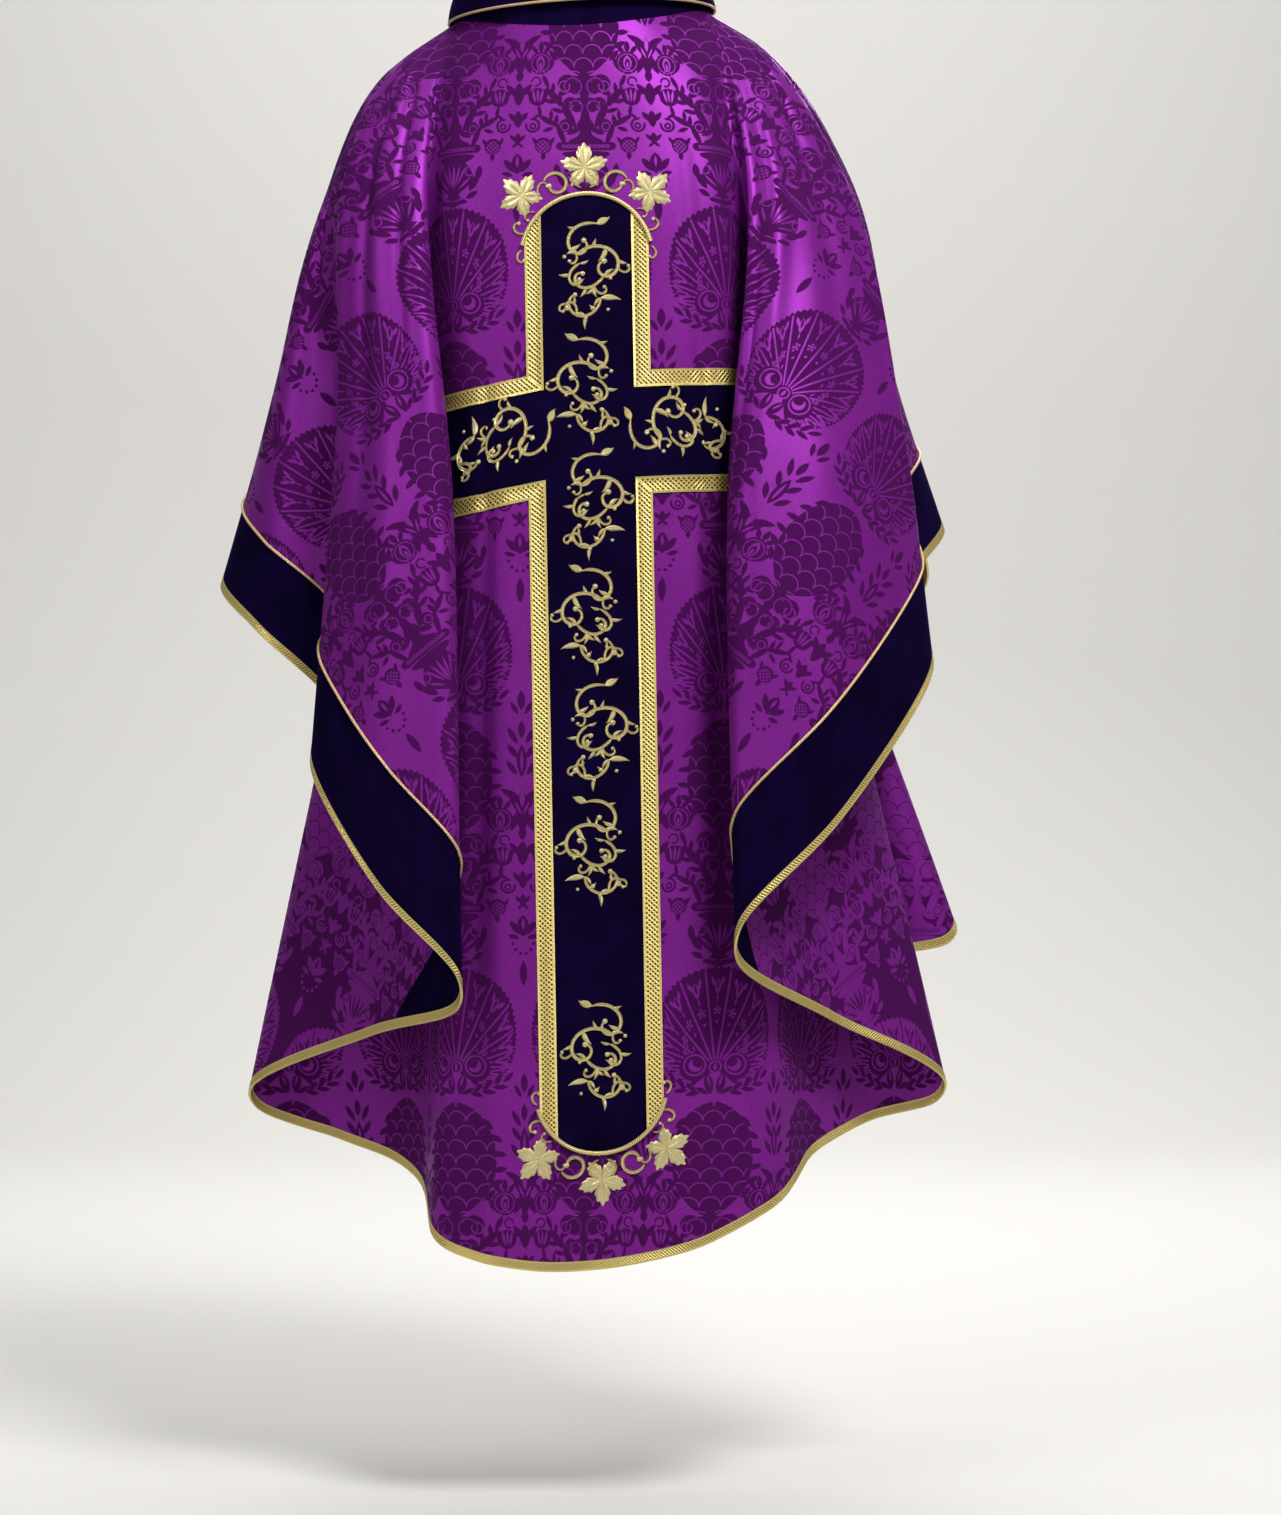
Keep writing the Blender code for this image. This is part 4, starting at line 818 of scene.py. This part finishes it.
def lookedUp(solve, asides, ups):    # the same places, read from a table that is solved once
    table = np.stack(solve(*np.meshgrid(asides, ups)), axis=-1)

    def at(aside, up):
        col = np.clip((aside - asides[0]) / (asides[1] - asides[0]), 0, len(asides) - 1.001)
        row = np.clip((up - ups[0]) / (ups[1] - ups[0]), 0, len(ups) - 1.001)
        i, j = row.astype(int), col.astype(int)
        u, v = (row - i)[..., None], (col - j)[..., None]
        above = table[i, j] * (1 - v) + table[i, j + 1] * v
        below = table[i + 1, j] * (1 - v) + table[i + 1, j + 1] * v
        return np.moveaxis(above * (1 - u) + below * u, -1, 0)

    return at


uprightAt = lookedUp(onBack, np.linspace(-112, 112, 33), np.linspace(-816, 312, 142))
armAt = lookedUp(onArm, np.linspace(-180, 180, 91), np.linspace(-80, 80, 21))


def crossSpot(aside, up):
    aside, up = np.broadcast_arrays(np.asarray(aside, float), np.asarray(up, float))
    onTheArm = (np.abs(aside) > cross["half"]) & (np.abs(up) < 75)
    return np.where(onTheArm, armAt(aside, up), uprightAt(aside, up))


def laid(aside, up, lift):    # points over the damask and the way out from it
    place = crossSpot(aside, up)
    normals = outward(*place)
    return cloth(*place) + np.asarray(lift)[..., None] * normals, normals


def armEnd(sign, column):
    distances, across = armLines[sign]
    return np.interp(column, np.abs(across), distances)


def archHeight(aside, radius):
    return np.sqrt(np.maximum(radius**2 - np.asarray(aside, float) ** 2, 0))


def velvetCross():
    half, step = cross["half"] + 1.2, cross["step"]
    cols = round(2 * half / step) + 1
    asides = np.linspace(-half, half, cols)
    arch = archHeight(asides, cross["archRadius"] - 1.0)
    bar = np.linspace(half, -half, cols)
    top, foot = cross["archUp"] + arch, cross["archDown"] - arch
    above = np.linspace(1, 0, round((cross["archUp"] + 50) / step))[:-1]
    below = np.linspace(0, 1, round((50 - cross["archDown"]) / step))[1:]
    ups = np.concatenate([half + (top - half) * above[:, None], np.repeat(bar[:, None], cols, 1),
                          -half + (foot + half) * below[:, None]])
    tableAside, tableUp = [np.broadcast_to(asides, ups.shape).ravel()], [ups.ravel()]
    faces = [netFaces(len(ups), cols)]
    for sign, column in ((-1, 0), (1, cols - 1)):
        outs = np.linspace(half, armEnd(sign, cross["armEnd"]), round(120 / step))[1:]
        first = sum(map(len, tableAside))
        places, heights = np.meshgrid(sign * outs, bar)
        tableAside.append(places.ravel())
        tableUp.append(heights.ravel())
        arm = netFaces(cols, len(outs)) + first
        near = (len(above) + np.arange(cols)) * cols + column
        far = first + np.arange(cols) * len(outs)
        arm = np.concatenate([arm, np.stack([near[:-1], far[:-1], far[1:], near[1:]], axis=-1)])
        faces.append(arm[:, ::sign])
    aside, up = np.concatenate(tableAside), np.concatenate(tableUp)
    flat, faces = np.stack([aside, up], axis=-1), np.concatenate(faces)
    made = shell("velvetCross", *laid(aside, up, np.full(len(aside), layers["velvet"])), flat, layers["velvetWall"],
                 [velvet], faces=faces)
    asSheet(flat, flat, faces)
    return placed(made, "velvet", "orphrey_velvet")


laceLook = {"width": 17.4, "lines": 7, "step": 4.0}
laceLifts = ((0, 2.5, 5.0, 17.4), (3.2, 3.0, 1.8, 1.5))    # millimetres in from the velvet, lift over the damask


def cornerLace(name, sign, way, node):    # one length of lace down the upright and out along the arm, with a mitre
    outs = np.linspace(0, laceLook["width"], laceLook["lines"])
    base = cross["archUp"] if way > 0 else -cross["archDown"]
    long = base + archHeight(cross["half"] + outs, cross["archRadius"] - 1.0)
    part = np.linspace(1, 0, round(base / laceLook["step"]))[:, None]
    corner = cross["half"] + outs
    upright = corner + (long - corner) * part
    end = armEnd(sign, cross["armEnd"])
    part = np.linspace(0, 1, round((end - corner[0]) / laceLook["step"]))[1:, None]
    arm = corner + (end - corner) * part
    table = np.concatenate([np.stack(np.broadcast_arrays(corner, upright), axis=-1), np.stack(np.broadcast_arrays(arm, corner), axis=-1)])
    along = np.concatenate([upright, arm]) - corner[0]
    places = np.concatenate([uprightAt(sign * table[:len(upright), :, 0], way * table[:len(upright), :, 1]),
                             armAt(sign * table[len(upright):, :, 0], way * table[len(upright):, :, 1])], axis=1)
    normals = outward(*places)
    points = cloth(*places) + np.interp(outs, *laceLifts)[:, None] * normals
    coords = np.stack(np.broadcast_arrays(along, outs), axis=-1)
    faces = netFaces(*points.shape[:2])[:, ::-sign * way]
    made = shell(name, points, normals, coords, layers["laceWall"], [crossLace], faces=faces)
    return placed(made, "orphrey_galloon", node)


def endLace(name, sign, node):
    high = cross["half"] + laceLook["width"]
    ups = np.linspace(high, -high, 33)
    across, heights = np.meshgrid(-sign * np.linspace(*cross["endLace"], 5), ups)
    down = onColumn(across, heights)
    normals = outward(across, down)
    coords = np.stack([heights, (np.abs(across) - cross["endLace"][0]) * 50], axis=-1)
    made = shell(name, cloth(across, down) + 1.6 * normals, normals, coords, layers["laceWall"], [crossLace],
                 faces=netFaces(*across.shape)[:, ::sign])
    return placed(made, "orphrey_galloon", node)


def archCord(name, way, node):
    turns = np.radians(np.linspace(14, 166, 90))
    aside = cross["archRadius"] * np.cos(turns)
    up = (cross["archUp"] if way > 0 else cross["archDown"]) + way * cross["archRadius"] * np.sin(turns)
    points = laid(aside, up, np.full(len(turns), layers["threadBase"] + 1.4))[0]
    return placed(tube(name, points, cross["cordRadius"], archCordLook, sides=12), "gold_thread", node)


velvetCross()
for sign, side in ((-1, "left"), (1, "right")):
    cornerLace(side + "UpperCrossLace", sign, 1, "orphrey_galloon_upper_" + side)
    cornerLace(side + "LowerCrossLace", sign, -1, "orphrey_galloon_lower_" + side)
    endLace(side + "EndCrossLace", sign, "orphrey_galloon_end_" + side)
for way, end in ((1, "top"), (-1, "bottom")):
    archCord(end + "ArchCord", way, "arch_cord_" + end)
print("velvet cross and its lace made")


# Gold embroidery: rows of x, y, heading, length, turn, how much it tightens, width, then what sprouts from it
# (kind, at, swing, length, curl, width); millimetres and degrees, y up, each cluster hangs down from its 0
tallCluster = (
    (11, -4, 165, 78, 345, 0.55, 5.2, (("leaf", 0, -118, 15, -50, 6.5), ("leaf", 0, -165, 16, 60, 6.0),
                                       ("leaf", 0.3, -28, 9, -40, 4.5), ("leaf", 0.62, 62, 12, 40, 5.5),
                                       ("curl", 0.7, -38, 17, -200, 3.6))),
    (-11, -35, 40, 98, -395, 0.60, 5.4, (("leaf", 0.02, 120, 13, 60, 5.5), ("leaf", 0.18, 36, 10, 40, 4.5),
                                         ("leaf", 0.33, -70, 17, -60, 7.0), ("leaf", 0.52, 30, 11, 50, 4.8),
                                         ("curl", 0.6, 42, 19, 210, 3.6))),
    (18, -57, 235, 52, -265, 0.7, 4.8, (("leaf", 0, 180, 12, -50, 5.0), ("leaf", 0.3, 55, 13, 50, 5.5),
                                        ("leaf", 0.45, 70, 12, -40, 5.0), ("leaf", 0.62, -75, 10, -40, 4.6))),
    (-7, -44, 205, 38, 265, 0.7, 4.4, (("leaf", 0, 150, 10, 50, 4.4), ("leaf", 0.4, -45, 12, -50, 5.0))),
    (7, -66, 275, 24, 250, 0.6, 3.6, (("leaf", 0.1, -50, 12, -40, 5.0),)),
)
tallBerries = ((-23, -37, 4.4), (24, -60, 4.0), (-12, -62, 3.8))
shortCluster = (
    (14, -4, 262, 62, -245, 0.35, 4.6, (("leaf", 0, 108, 21, -35, 8.0), ("leaf", 0, -60, 12, 60, 5.0),
                                        ("leaf", 0.2, -70, 9, -30, 4.0), ("leaf", 0.4, 50, 15, 40, 5.5),
                                        ("leaf", 0.7, 45, 9, 50, 4.2), ("curl", 0.8, 60, 18, 230, 3.4))),
    (-12, -22, 75, 26, 230, 0.7, 4.0, (("leaf", 0.1, -70, 11, -60, 4.8), ("leaf", 0.5, -50, 9, 30, 4.2))),
)
shortBerries = ((5, -14, 4.8), (-2, -24, 4.4), (21, -16, 3.8))
tall, short = (tallCluster, tallBerries), (shortCluster, shortBerries)
threadWork = {"step": 1.3, "height": 1.8, "fullness": 0.8, "tallPitch": 76.0, "shortPitch": 42.0}
scrollSection = ((-1, 0), (-0.86, 0.62), (-0.58, 1.0), (-0.28, 0.62), (0, 0.42), (0.28, 0.62), (0.58, 1.0), (0.86, 0.62), (1, 0))
leafSection = ((-1, 0), (-0.8, 0.5), (-0.5, 0.9), (-0.18, 1.0), (0, 0.72), (0.18, 1.0), (0.5, 0.9), (0.8, 0.5), (1, 0))


def strokeLine(x, y, heading, length, turn, tighten):
    steps = max(8, round(length / threadWork["step"]))
    part = np.linspace(0, 1, steps + 1)
    angle = heading + turn * ((1 - tighten) * part + tighten * part**3)
    mid = np.radians((angle[1:] + angle[:-1]) / 2)
    pace = length / steps
    ends = np.stack([np.cumsum(np.cos(mid)), np.cumsum(np.sin(mid))], axis=1) * pace
    return np.concatenate([[[x, y]], [x, y] + ends]), angle, part


def grown(cluster):    # every scroll, leaf and curl of a cluster
    rows, berries = cluster
    for x, y, heading, length, turn, tighten, width, sprouts in rows:
        line, angle, part = strokeLine(x, y, heading, length, turn, tighten)
        yield "scroll", line, angle, part, width
        for kind, at, swing, reach, curl, wide in sprouts:
            k = round(at * (len(line) - 1))
            yield kind, *strokeLine(*line[k], angle[k] + swing, reach, curl, 0.5 if kind == "curl" else 0.0), wide
    for x, y, size in berries:
        yield "berry", np.array([[x, y]]), None, None, size


class Stitches:    # gathers many raised strokes into one mesh
    def __init__(self):
        self.flats, self.lifts, self.coords, self.faces, self.count = [], [], [], [], 0

    def add(self, flat, lift, coords, faces):
        self.flats.append(flat.reshape(-1, 2))
        self.lifts.append(lift.ravel())
        self.coords.append(coords.reshape(-1, 3))
        self.faces += [[spot + self.count for spot in face] for face in faces]
        self.count += len(self.lifts[-1])

    def made(self, name, look, base):
        flat, lift = np.concatenate(self.flats), np.concatenate(self.lifts)
        points = laid(flat[:, 0], flat[:, 1], base + lift)[0]
        return finished(name, points, self.faces, [look], np.concatenate(self.coords))


def addStroke(stitches, kind, line, angle, part, width, place):
    width *= threadWork["fullness"]
    if kind == "leaf":
        wide = width * np.sin(math.pi * np.clip(part, 0.03, 0.985) ** 0.7)
        section = np.array(leafSection)
    else:
        wide = width * np.interp(part, (0, 0.12, 0.75, 1), (0.4, 0.9, 0.95, 0.6))
        section = np.array(scrollSection)
    side = np.stack([-np.sin(np.radians(angle)), np.cos(np.radians(angle))], axis=1)
    flat = line[:, None] + side[:, None] * (wide[:, None] / 2 * section[:, 0])[..., None]
    height = threadWork["height"] * (wide / wide.max()) ** 0.5
    lift = height[:, None] * section[:, 1]
    along = np.linspace(0, 1, len(line)) * threadWork["step"] * len(line)
    coords = np.stack(np.broadcast_arrays(along[:, None], section[:, 0] * width / 2, 0.0), axis=-1)
    size = len(section)
    faces = netFaces(len(line), size, True).tolist() + [list(range(size))[::-1], list(range((len(line) - 1) * size, len(line) * size))]
    flat, turned = place(flat)
    stitches.add(flat, lift, coords, [face[::-1] for face in faces] if turned else faces)


def addBerry(stitches, centre, size, place):
    rings, sides = 5, 12
    tilt = np.linspace(0, math.pi / 2, rings + 1)[:-1]
    turns = np.linspace(0, 2 * math.pi, sides, endpoint=False)
    flat = centre + size / 2 * (np.cos(tilt)[:, None, None] * np.stack([np.cos(turns), np.sin(turns)], axis=-1)[None])
    lift = np.broadcast_to(threadWork["height"] * 1.25 * np.sin(tilt)[:, None], flat.shape[:2])
    coords = np.concatenate([flat, np.zeros((*flat.shape[:2], 1))], axis=-1)
    faces = netFaces(rings, sides, True).tolist() + [list(range(sides))[::-1], list(range((rings - 1) * sides, rings * sides))]
    flat, turned = place(flat)
    stitches.add(flat, lift, coords, [face[::-1] for face in faces] if turned else faces)


def addCluster(stitches, cluster, aside, up, turn=0, mirror=False):
    swing = math.radians(turn)

    def place(flat):
        x, y = (-flat[..., 0] if mirror else flat[..., 0]), flat[..., 1]
        turned = np.stack([x * math.cos(swing) - y * math.sin(swing), x * math.sin(swing) + y * math.cos(swing)], axis=-1)
        return turned + (aside, up), mirror

    for kind, line, angle, part, width in grown(cluster):
        if kind != "berry":
            addStroke(stitches, kind, line, angle, part, width, place)
        if kind != "leaf":
            addBerry(stitches, line[-1], width * 1.1 if kind != "berry" else width, place)


def uprightEmbroidery():
    stitches = Stitches()
    up, mirror = 218.0, False
    while up > -440:
        for cluster, pitch in ((tall, threadWork["tallPitch"]), (short, threadWork["shortPitch"])):
            addCluster(stitches, cluster, 0, up, mirror=mirror)
            up -= pitch
        mirror = not mirror
    addCluster(stitches, tall, 2, -580, mirror=True)
    addCluster(stitches, short, 0, -580 - threadWork["tallPitch"], mirror=True)
    return placed(stitches.made("uprightEmbroidery", goldThread, layers["threadBase"]), "gold_thread")


def armEmbroidery():
    stitches = Stitches()
    for sign in (-1, 1):
        addCluster(stitches, tall, sign * 38, 2, turn=sign * 90, mirror=sign < 0)
        addCluster(stitches, short, sign * 116, 0, turn=sign * 90, mirror=sign < 0)
    return placed(stitches.made("armEmbroidery", goldThread, layers["threadBase"]), "gold_thread")


uprightEmbroidery()
armEmbroidery()
print("embroidery made")


# Crests over the two arches: raised leaves and scrolls
crest = {"leafHeight": 2.4, "scrollAside": 30.0, "scrollOut": 78.0, "scrollSize": 13.0, "lift": 0.9}
crestLeaves = (("left", -65.5, 67.5, 24, 135), ("middle", -1, 94.5, 25, 90), ("right", 65.5, 67.5, 24, 45))
crestCurls = (    # aside, out, heading, length, turn, tighten, width, each also mirrored
    (4, 74, 15, 24, 215, 0.6, 3.0), (10, 92, 300, 16, -190, 0.5, 2.6), (47, 66, 60, 24, 220, 0.6, 3.0),
    (52, 50, 20, 18, -200, 0.5, 2.6), (61, 29, 340, 24, 220, 0.5, 3.4), (66, 12, 330, 20, -210, 0.5, 3.2),
)


def crestPlace(way):
    def place(flat):
        base = cross["archUp"] if way > 0 else cross["archDown"]
        return np.stack([flat[..., 0], base + way * flat[..., 1]], axis=-1), way < 0
    return place


def crestLeaf(name, way, aside, out, size, turn, node):
    rings, sides = 11, 120
    turns = np.linspace(0, 2 * math.pi, sides, endpoint=False)
    lobes = np.abs(np.cos(2.5 * turns))
    edge = size * (0.44 + 0.48 * lobes**0.7 + 0.1 * lobes**12) * (0.92 + 0.08 * np.cos(turns)) * (1 + 0.06 * np.cos(25 * turns))
    parts = np.linspace(0.06, 1, rings)[::-1, None]
    swing = turns + math.radians(turn)
    flat = np.stack([aside + parts * edge * np.cos(swing), out + parts * edge * np.sin(swing)], axis=-1)
    swell = np.abs(np.sin(5 * turns)) ** 0.7    # two rounded halves to each lobe, with a vein between
    lift = crest["leafHeight"] * (1 - parts**5) * (0.45 + 0.55 * swell * parts**0.5)
    coords = np.concatenate([flat, np.zeros((rings, sides, 1))], axis=-1)
    faces = netFaces(rings, sides, True).tolist() + [list(range(sides))[::-1], list(range((rings - 1) * sides, rings * sides))]
    flat, turned = crestPlace(way)(flat)
    stitches = Stitches()
    stitches.add(flat, lift, coords, [face[::-1] for face in faces] if turned else faces)
    return placed(stitches.made(name, goldThread, crest["lift"]), "gold_thread", node)


def crestScroll(name, way, sign, node):
    stitches = Stitches()
    turns = np.radians(np.linspace(20, 350, 60))
    reach = crest["scrollSize"] * np.linspace(1.0, 0.55, 60)
    line = np.stack([sign * (crest["scrollAside"] + reach * np.cos(turns)), crest["scrollOut"] + reach * np.sin(turns)], axis=1)
    heading = np.degrees(np.unwrap(np.arctan2(*np.gradient(line, axis=0).T[::-1])))
    addStroke(stitches, "scroll", line, heading, np.linspace(0, 1, 60), 5.0, crestPlace(way))
    addBerry(stitches, line[-1], 5.5, crestPlace(way))
    return placed(stitches.made(name, goldThread, crest["lift"]), "gold_thread", node)


def crestSprigs(name, way):
    stitches = Stitches()
    for aside, out, heading, length, turn, tighten, width in crestCurls:
        for sign in (-1, 1):
            line, angle, part = strokeLine(aside, out, heading, length, turn, tighten)
            line = line * (sign, 1)
            angle = angle if sign > 0 else 180 - angle
            addStroke(stitches, "curl", line, angle, part, width, crestPlace(way))
            addBerry(stitches, line[-1], width * 1.3, crestPlace(way))
    return placed(stitches.made(name, goldThread, crest["lift"]), "gold_thread")


for way, end in ((1, "top"), (-1, "bottom")):
    for side, *sizes in crestLeaves:
        crestLeaf(f"{end}{side.title()}CrestLeaf", way, *sizes, f"crest_leaf_{end}_{side}")
    for sign, side in ((-1, "left"), (1, "right")):
        crestScroll(f"{end}{side.title()}CrestScroll", way, sign, f"crest_scroll_{end}_{side}")
    crestSprigs(end + "CrestSprigs", way)
print("crests made")


# Collar
collarLook = {"topZ": 22.0, "lean": 6.0, "columns": 160, "leafGap": 2.8, "leafOut": 6.5, "leafZ": -6.0, "leafTilt": 7.5,
              "wall": 1.8, "pipingRadius": 1.5}


def collarRings():
    turns = np.linspace(0, 2 * math.pi, collarLook["columns"], endpoint=False)
    side, ahead = -np.sin(turns), np.cos(turns)
    seamZ = neckHeight(side, ahead) + 0.6
    dip = np.where(ahead < 0, (neck["frontZ"] - neck["backZ"]) * ahead**2, 0)
    leafZ = collarLook["leafZ"] + collarLook["leafTilt"] * side + dip
    topZ = collarLook["topZ"] + dip

    def ring(out, height):
        return np.stack([(neck["halfWidth"] + out) * side, -(neck["halfDepth"] + out) * ahead, height], axis=1)

    return turns, ring, seamZ, topZ, leafZ


def roundWall(name, rings, turns, up, slot, node):
    points = np.array(rings)
    sideways = np.roll(points, -1, axis=1) - np.roll(points, 1, axis=1)
    normals = up * np.cross(np.gradient(points, axis=0), sideways)
    normals /= np.linalg.norm(normals, axis=-1, keepdims=True)
    if up > 0:
        points, normals = points[::-1], normals[::-1]
    coords = np.stack(np.broadcast_arrays(turns[None, :] * neck["halfWidth"], points[..., 2]), axis=-1)
    made = shell(name, points, normals, coords, collarLook["wall"], [velvet], closed=True)
    ring = np.linalg.norm(np.diff(points[:, :], axis=1), axis=-1).sum(axis=1).mean()
    high = np.linalg.norm(np.diff(points, axis=0), axis=-1).sum(axis=0).mean()
    print(f"{name} is cut {ring:.0f} x {high:.0f} mm")
    return placed(made, slot, node)


def collar():
    turns, ring, seamZ, topZ, leafZ = collarRings()
    topOut = collarLook["leafGap"] - collarLook["lean"]
    stand = [ring(-collarLook["lean"] * part, seamZ + (topZ - seamZ) * part) for part in np.linspace(0, 1, 8)]
    leaf = []
    for part in np.linspace(0, 1, 9):
        bulge = 1.6 * math.sin(math.pi * part) ** 0.8
        leaf.append(ring(topOut + (collarLook["leafOut"] - topOut) * part + bulge, topZ + (leafZ - topZ) * part))
    roundWall("collarStand", stand, turns, 1, "velvet", "collar_stand")
    roundWall("collarLeaf", leaf, turns, -1, "velvet", "collar_leaf")
    drop = collarLook["wall"] / 2 + collarLook["pipingRadius"] * 0.8
    piping = tube("collarPiping", ring(collarLook["leafOut"], leafZ - drop), collarLook["pipingRadius"], cordLook, closed=True)
    placed(piping, "piping", "collar_piping")


collar()
print("collar made")


# Floor, light and camera
room = {"floorZ": -1.56, "sweepY": 5.2, "sweepRadius": 1.6, "halfWidth": 9.0, "near": -9.0, "height": 6.0,
        "roomLight": 0.13, "seenLight": 0.62}


def sweep():
    profile = [(room["near"], room["floorZ"]), (room["sweepY"] - room["sweepRadius"], room["floorZ"])]
    for k in range(1, 13):
        turn = math.pi / 2 * k / 12
        profile.append((room["sweepY"] - room["sweepRadius"] + room["sweepRadius"] * math.sin(turn),
                        room["floorZ"] + room["sweepRadius"] * (1 - math.cos(turn))))
    profile.append((room["sweepY"], room["height"]))
    points = [(x, y, z) for y, z in profile for x in (-room["halfWidth"], room["halfWidth"])]
    faces = [(2 * k, 2 * k + 1, 2 * k + 3, 2 * k + 2) for k in range(len(profile) - 1)]
    mesh = bpy.data.meshes.new("paleFloor")
    mesh.from_pydata(points, [], faces)
    mesh.shade_smooth()
    paper, tree, shader = newMaterial("studio paper, rolled", Roughness=0.9)
    shader.inputs["Base Color"].default_value = linear("#dcdad6")
    behind = addNode(tree, "NewGeometry").outputs["Backfacing"]    # seen through from behind, so the front has its views too
    clear = addNode(tree, "BsdfTransparent")
    oneSided = addNode(tree, "MixShader", behind, shader, clear)
    tree.links.new(oneSided.outputs[0], tree.nodes["Material Output"].inputs["Surface"])
    mesh.materials.append(paper)
    floor = bpy.data.objects.new("paleFloor", mesh)
    bpy.context.scene.collection.objects.link(floor)


def areaLight(name, place, target, size, watts):
    data = bpy.data.lights.new(name, "AREA")
    data.size = size
    data.energy = watts
    light = bpy.data.objects.new(name, data)
    bpy.context.scene.collection.objects.link(light)
    way = np.subtract(target, place)
    light.location = place
    light.rotation_euler = (math.atan2(math.hypot(way[0], way[1]), -way[2]), 0, math.atan2(-way[0], way[1]))


def studio():
    sweep()
    areaLight("keySoftbox", (1.3, -2.5, 2.3), (0, 0, -0.4), 1.2, 150)
    areaLight("fillSoftbox", (-2.4, -2.6, 1.2), (0, 0, -0.6), 1.8, 34)
    areaLight("topSoftbox", (0.2, 0.6, 2.4), (0, 0, -0.5), 2.0, 40)
    areaLight("wallSoftbox", (0, 2.4, 2.6), (0, 5.2, -0.4), 2.4, 90)
    areaLight("frontSoftbox", (0.9, 3.4, 1.9), (0, 0, -0.5), 1.6, 70)
    world = bpy.data.worlds.new("softRoom")
    world.use_nodes = True
    world.node_tree.nodes["Background"].inputs[0].default_value = linear("#e6e6ea")
    seen = addNode(world.node_tree, "LightPath").outputs["Is Camera Ray"]    # a pale room that lights the cloth only a little
    glow = addNode(world.node_tree, "MapRange", seen, 0.0, 1.0, room["roomLight"], room["seenLight"])
    world.node_tree.links.new(glow.outputs[0], world.node_tree.nodes["Background"].inputs[1])
    bpy.context.scene.world = world
    bpy.context.scene.view_settings.view_transform = "Standard"    # keeps the dyes as deep as they are
    camera = bpy.data.cameras.new("camera")
    camera.sensor_width = 36.0
    camera.lens = 36.0 * 3977 / imageSize[1]
    eye = bpy.data.objects.new("camera", camera)
    eye.location = (0.0618, -4.2, -0.789)
    eye.rotation_euler = (math.pi / 2, 0, 0)
    bpy.context.scene.collection.objects.link(eye)
    bpy.context.scene.camera = eye


studio()
print("studio set")
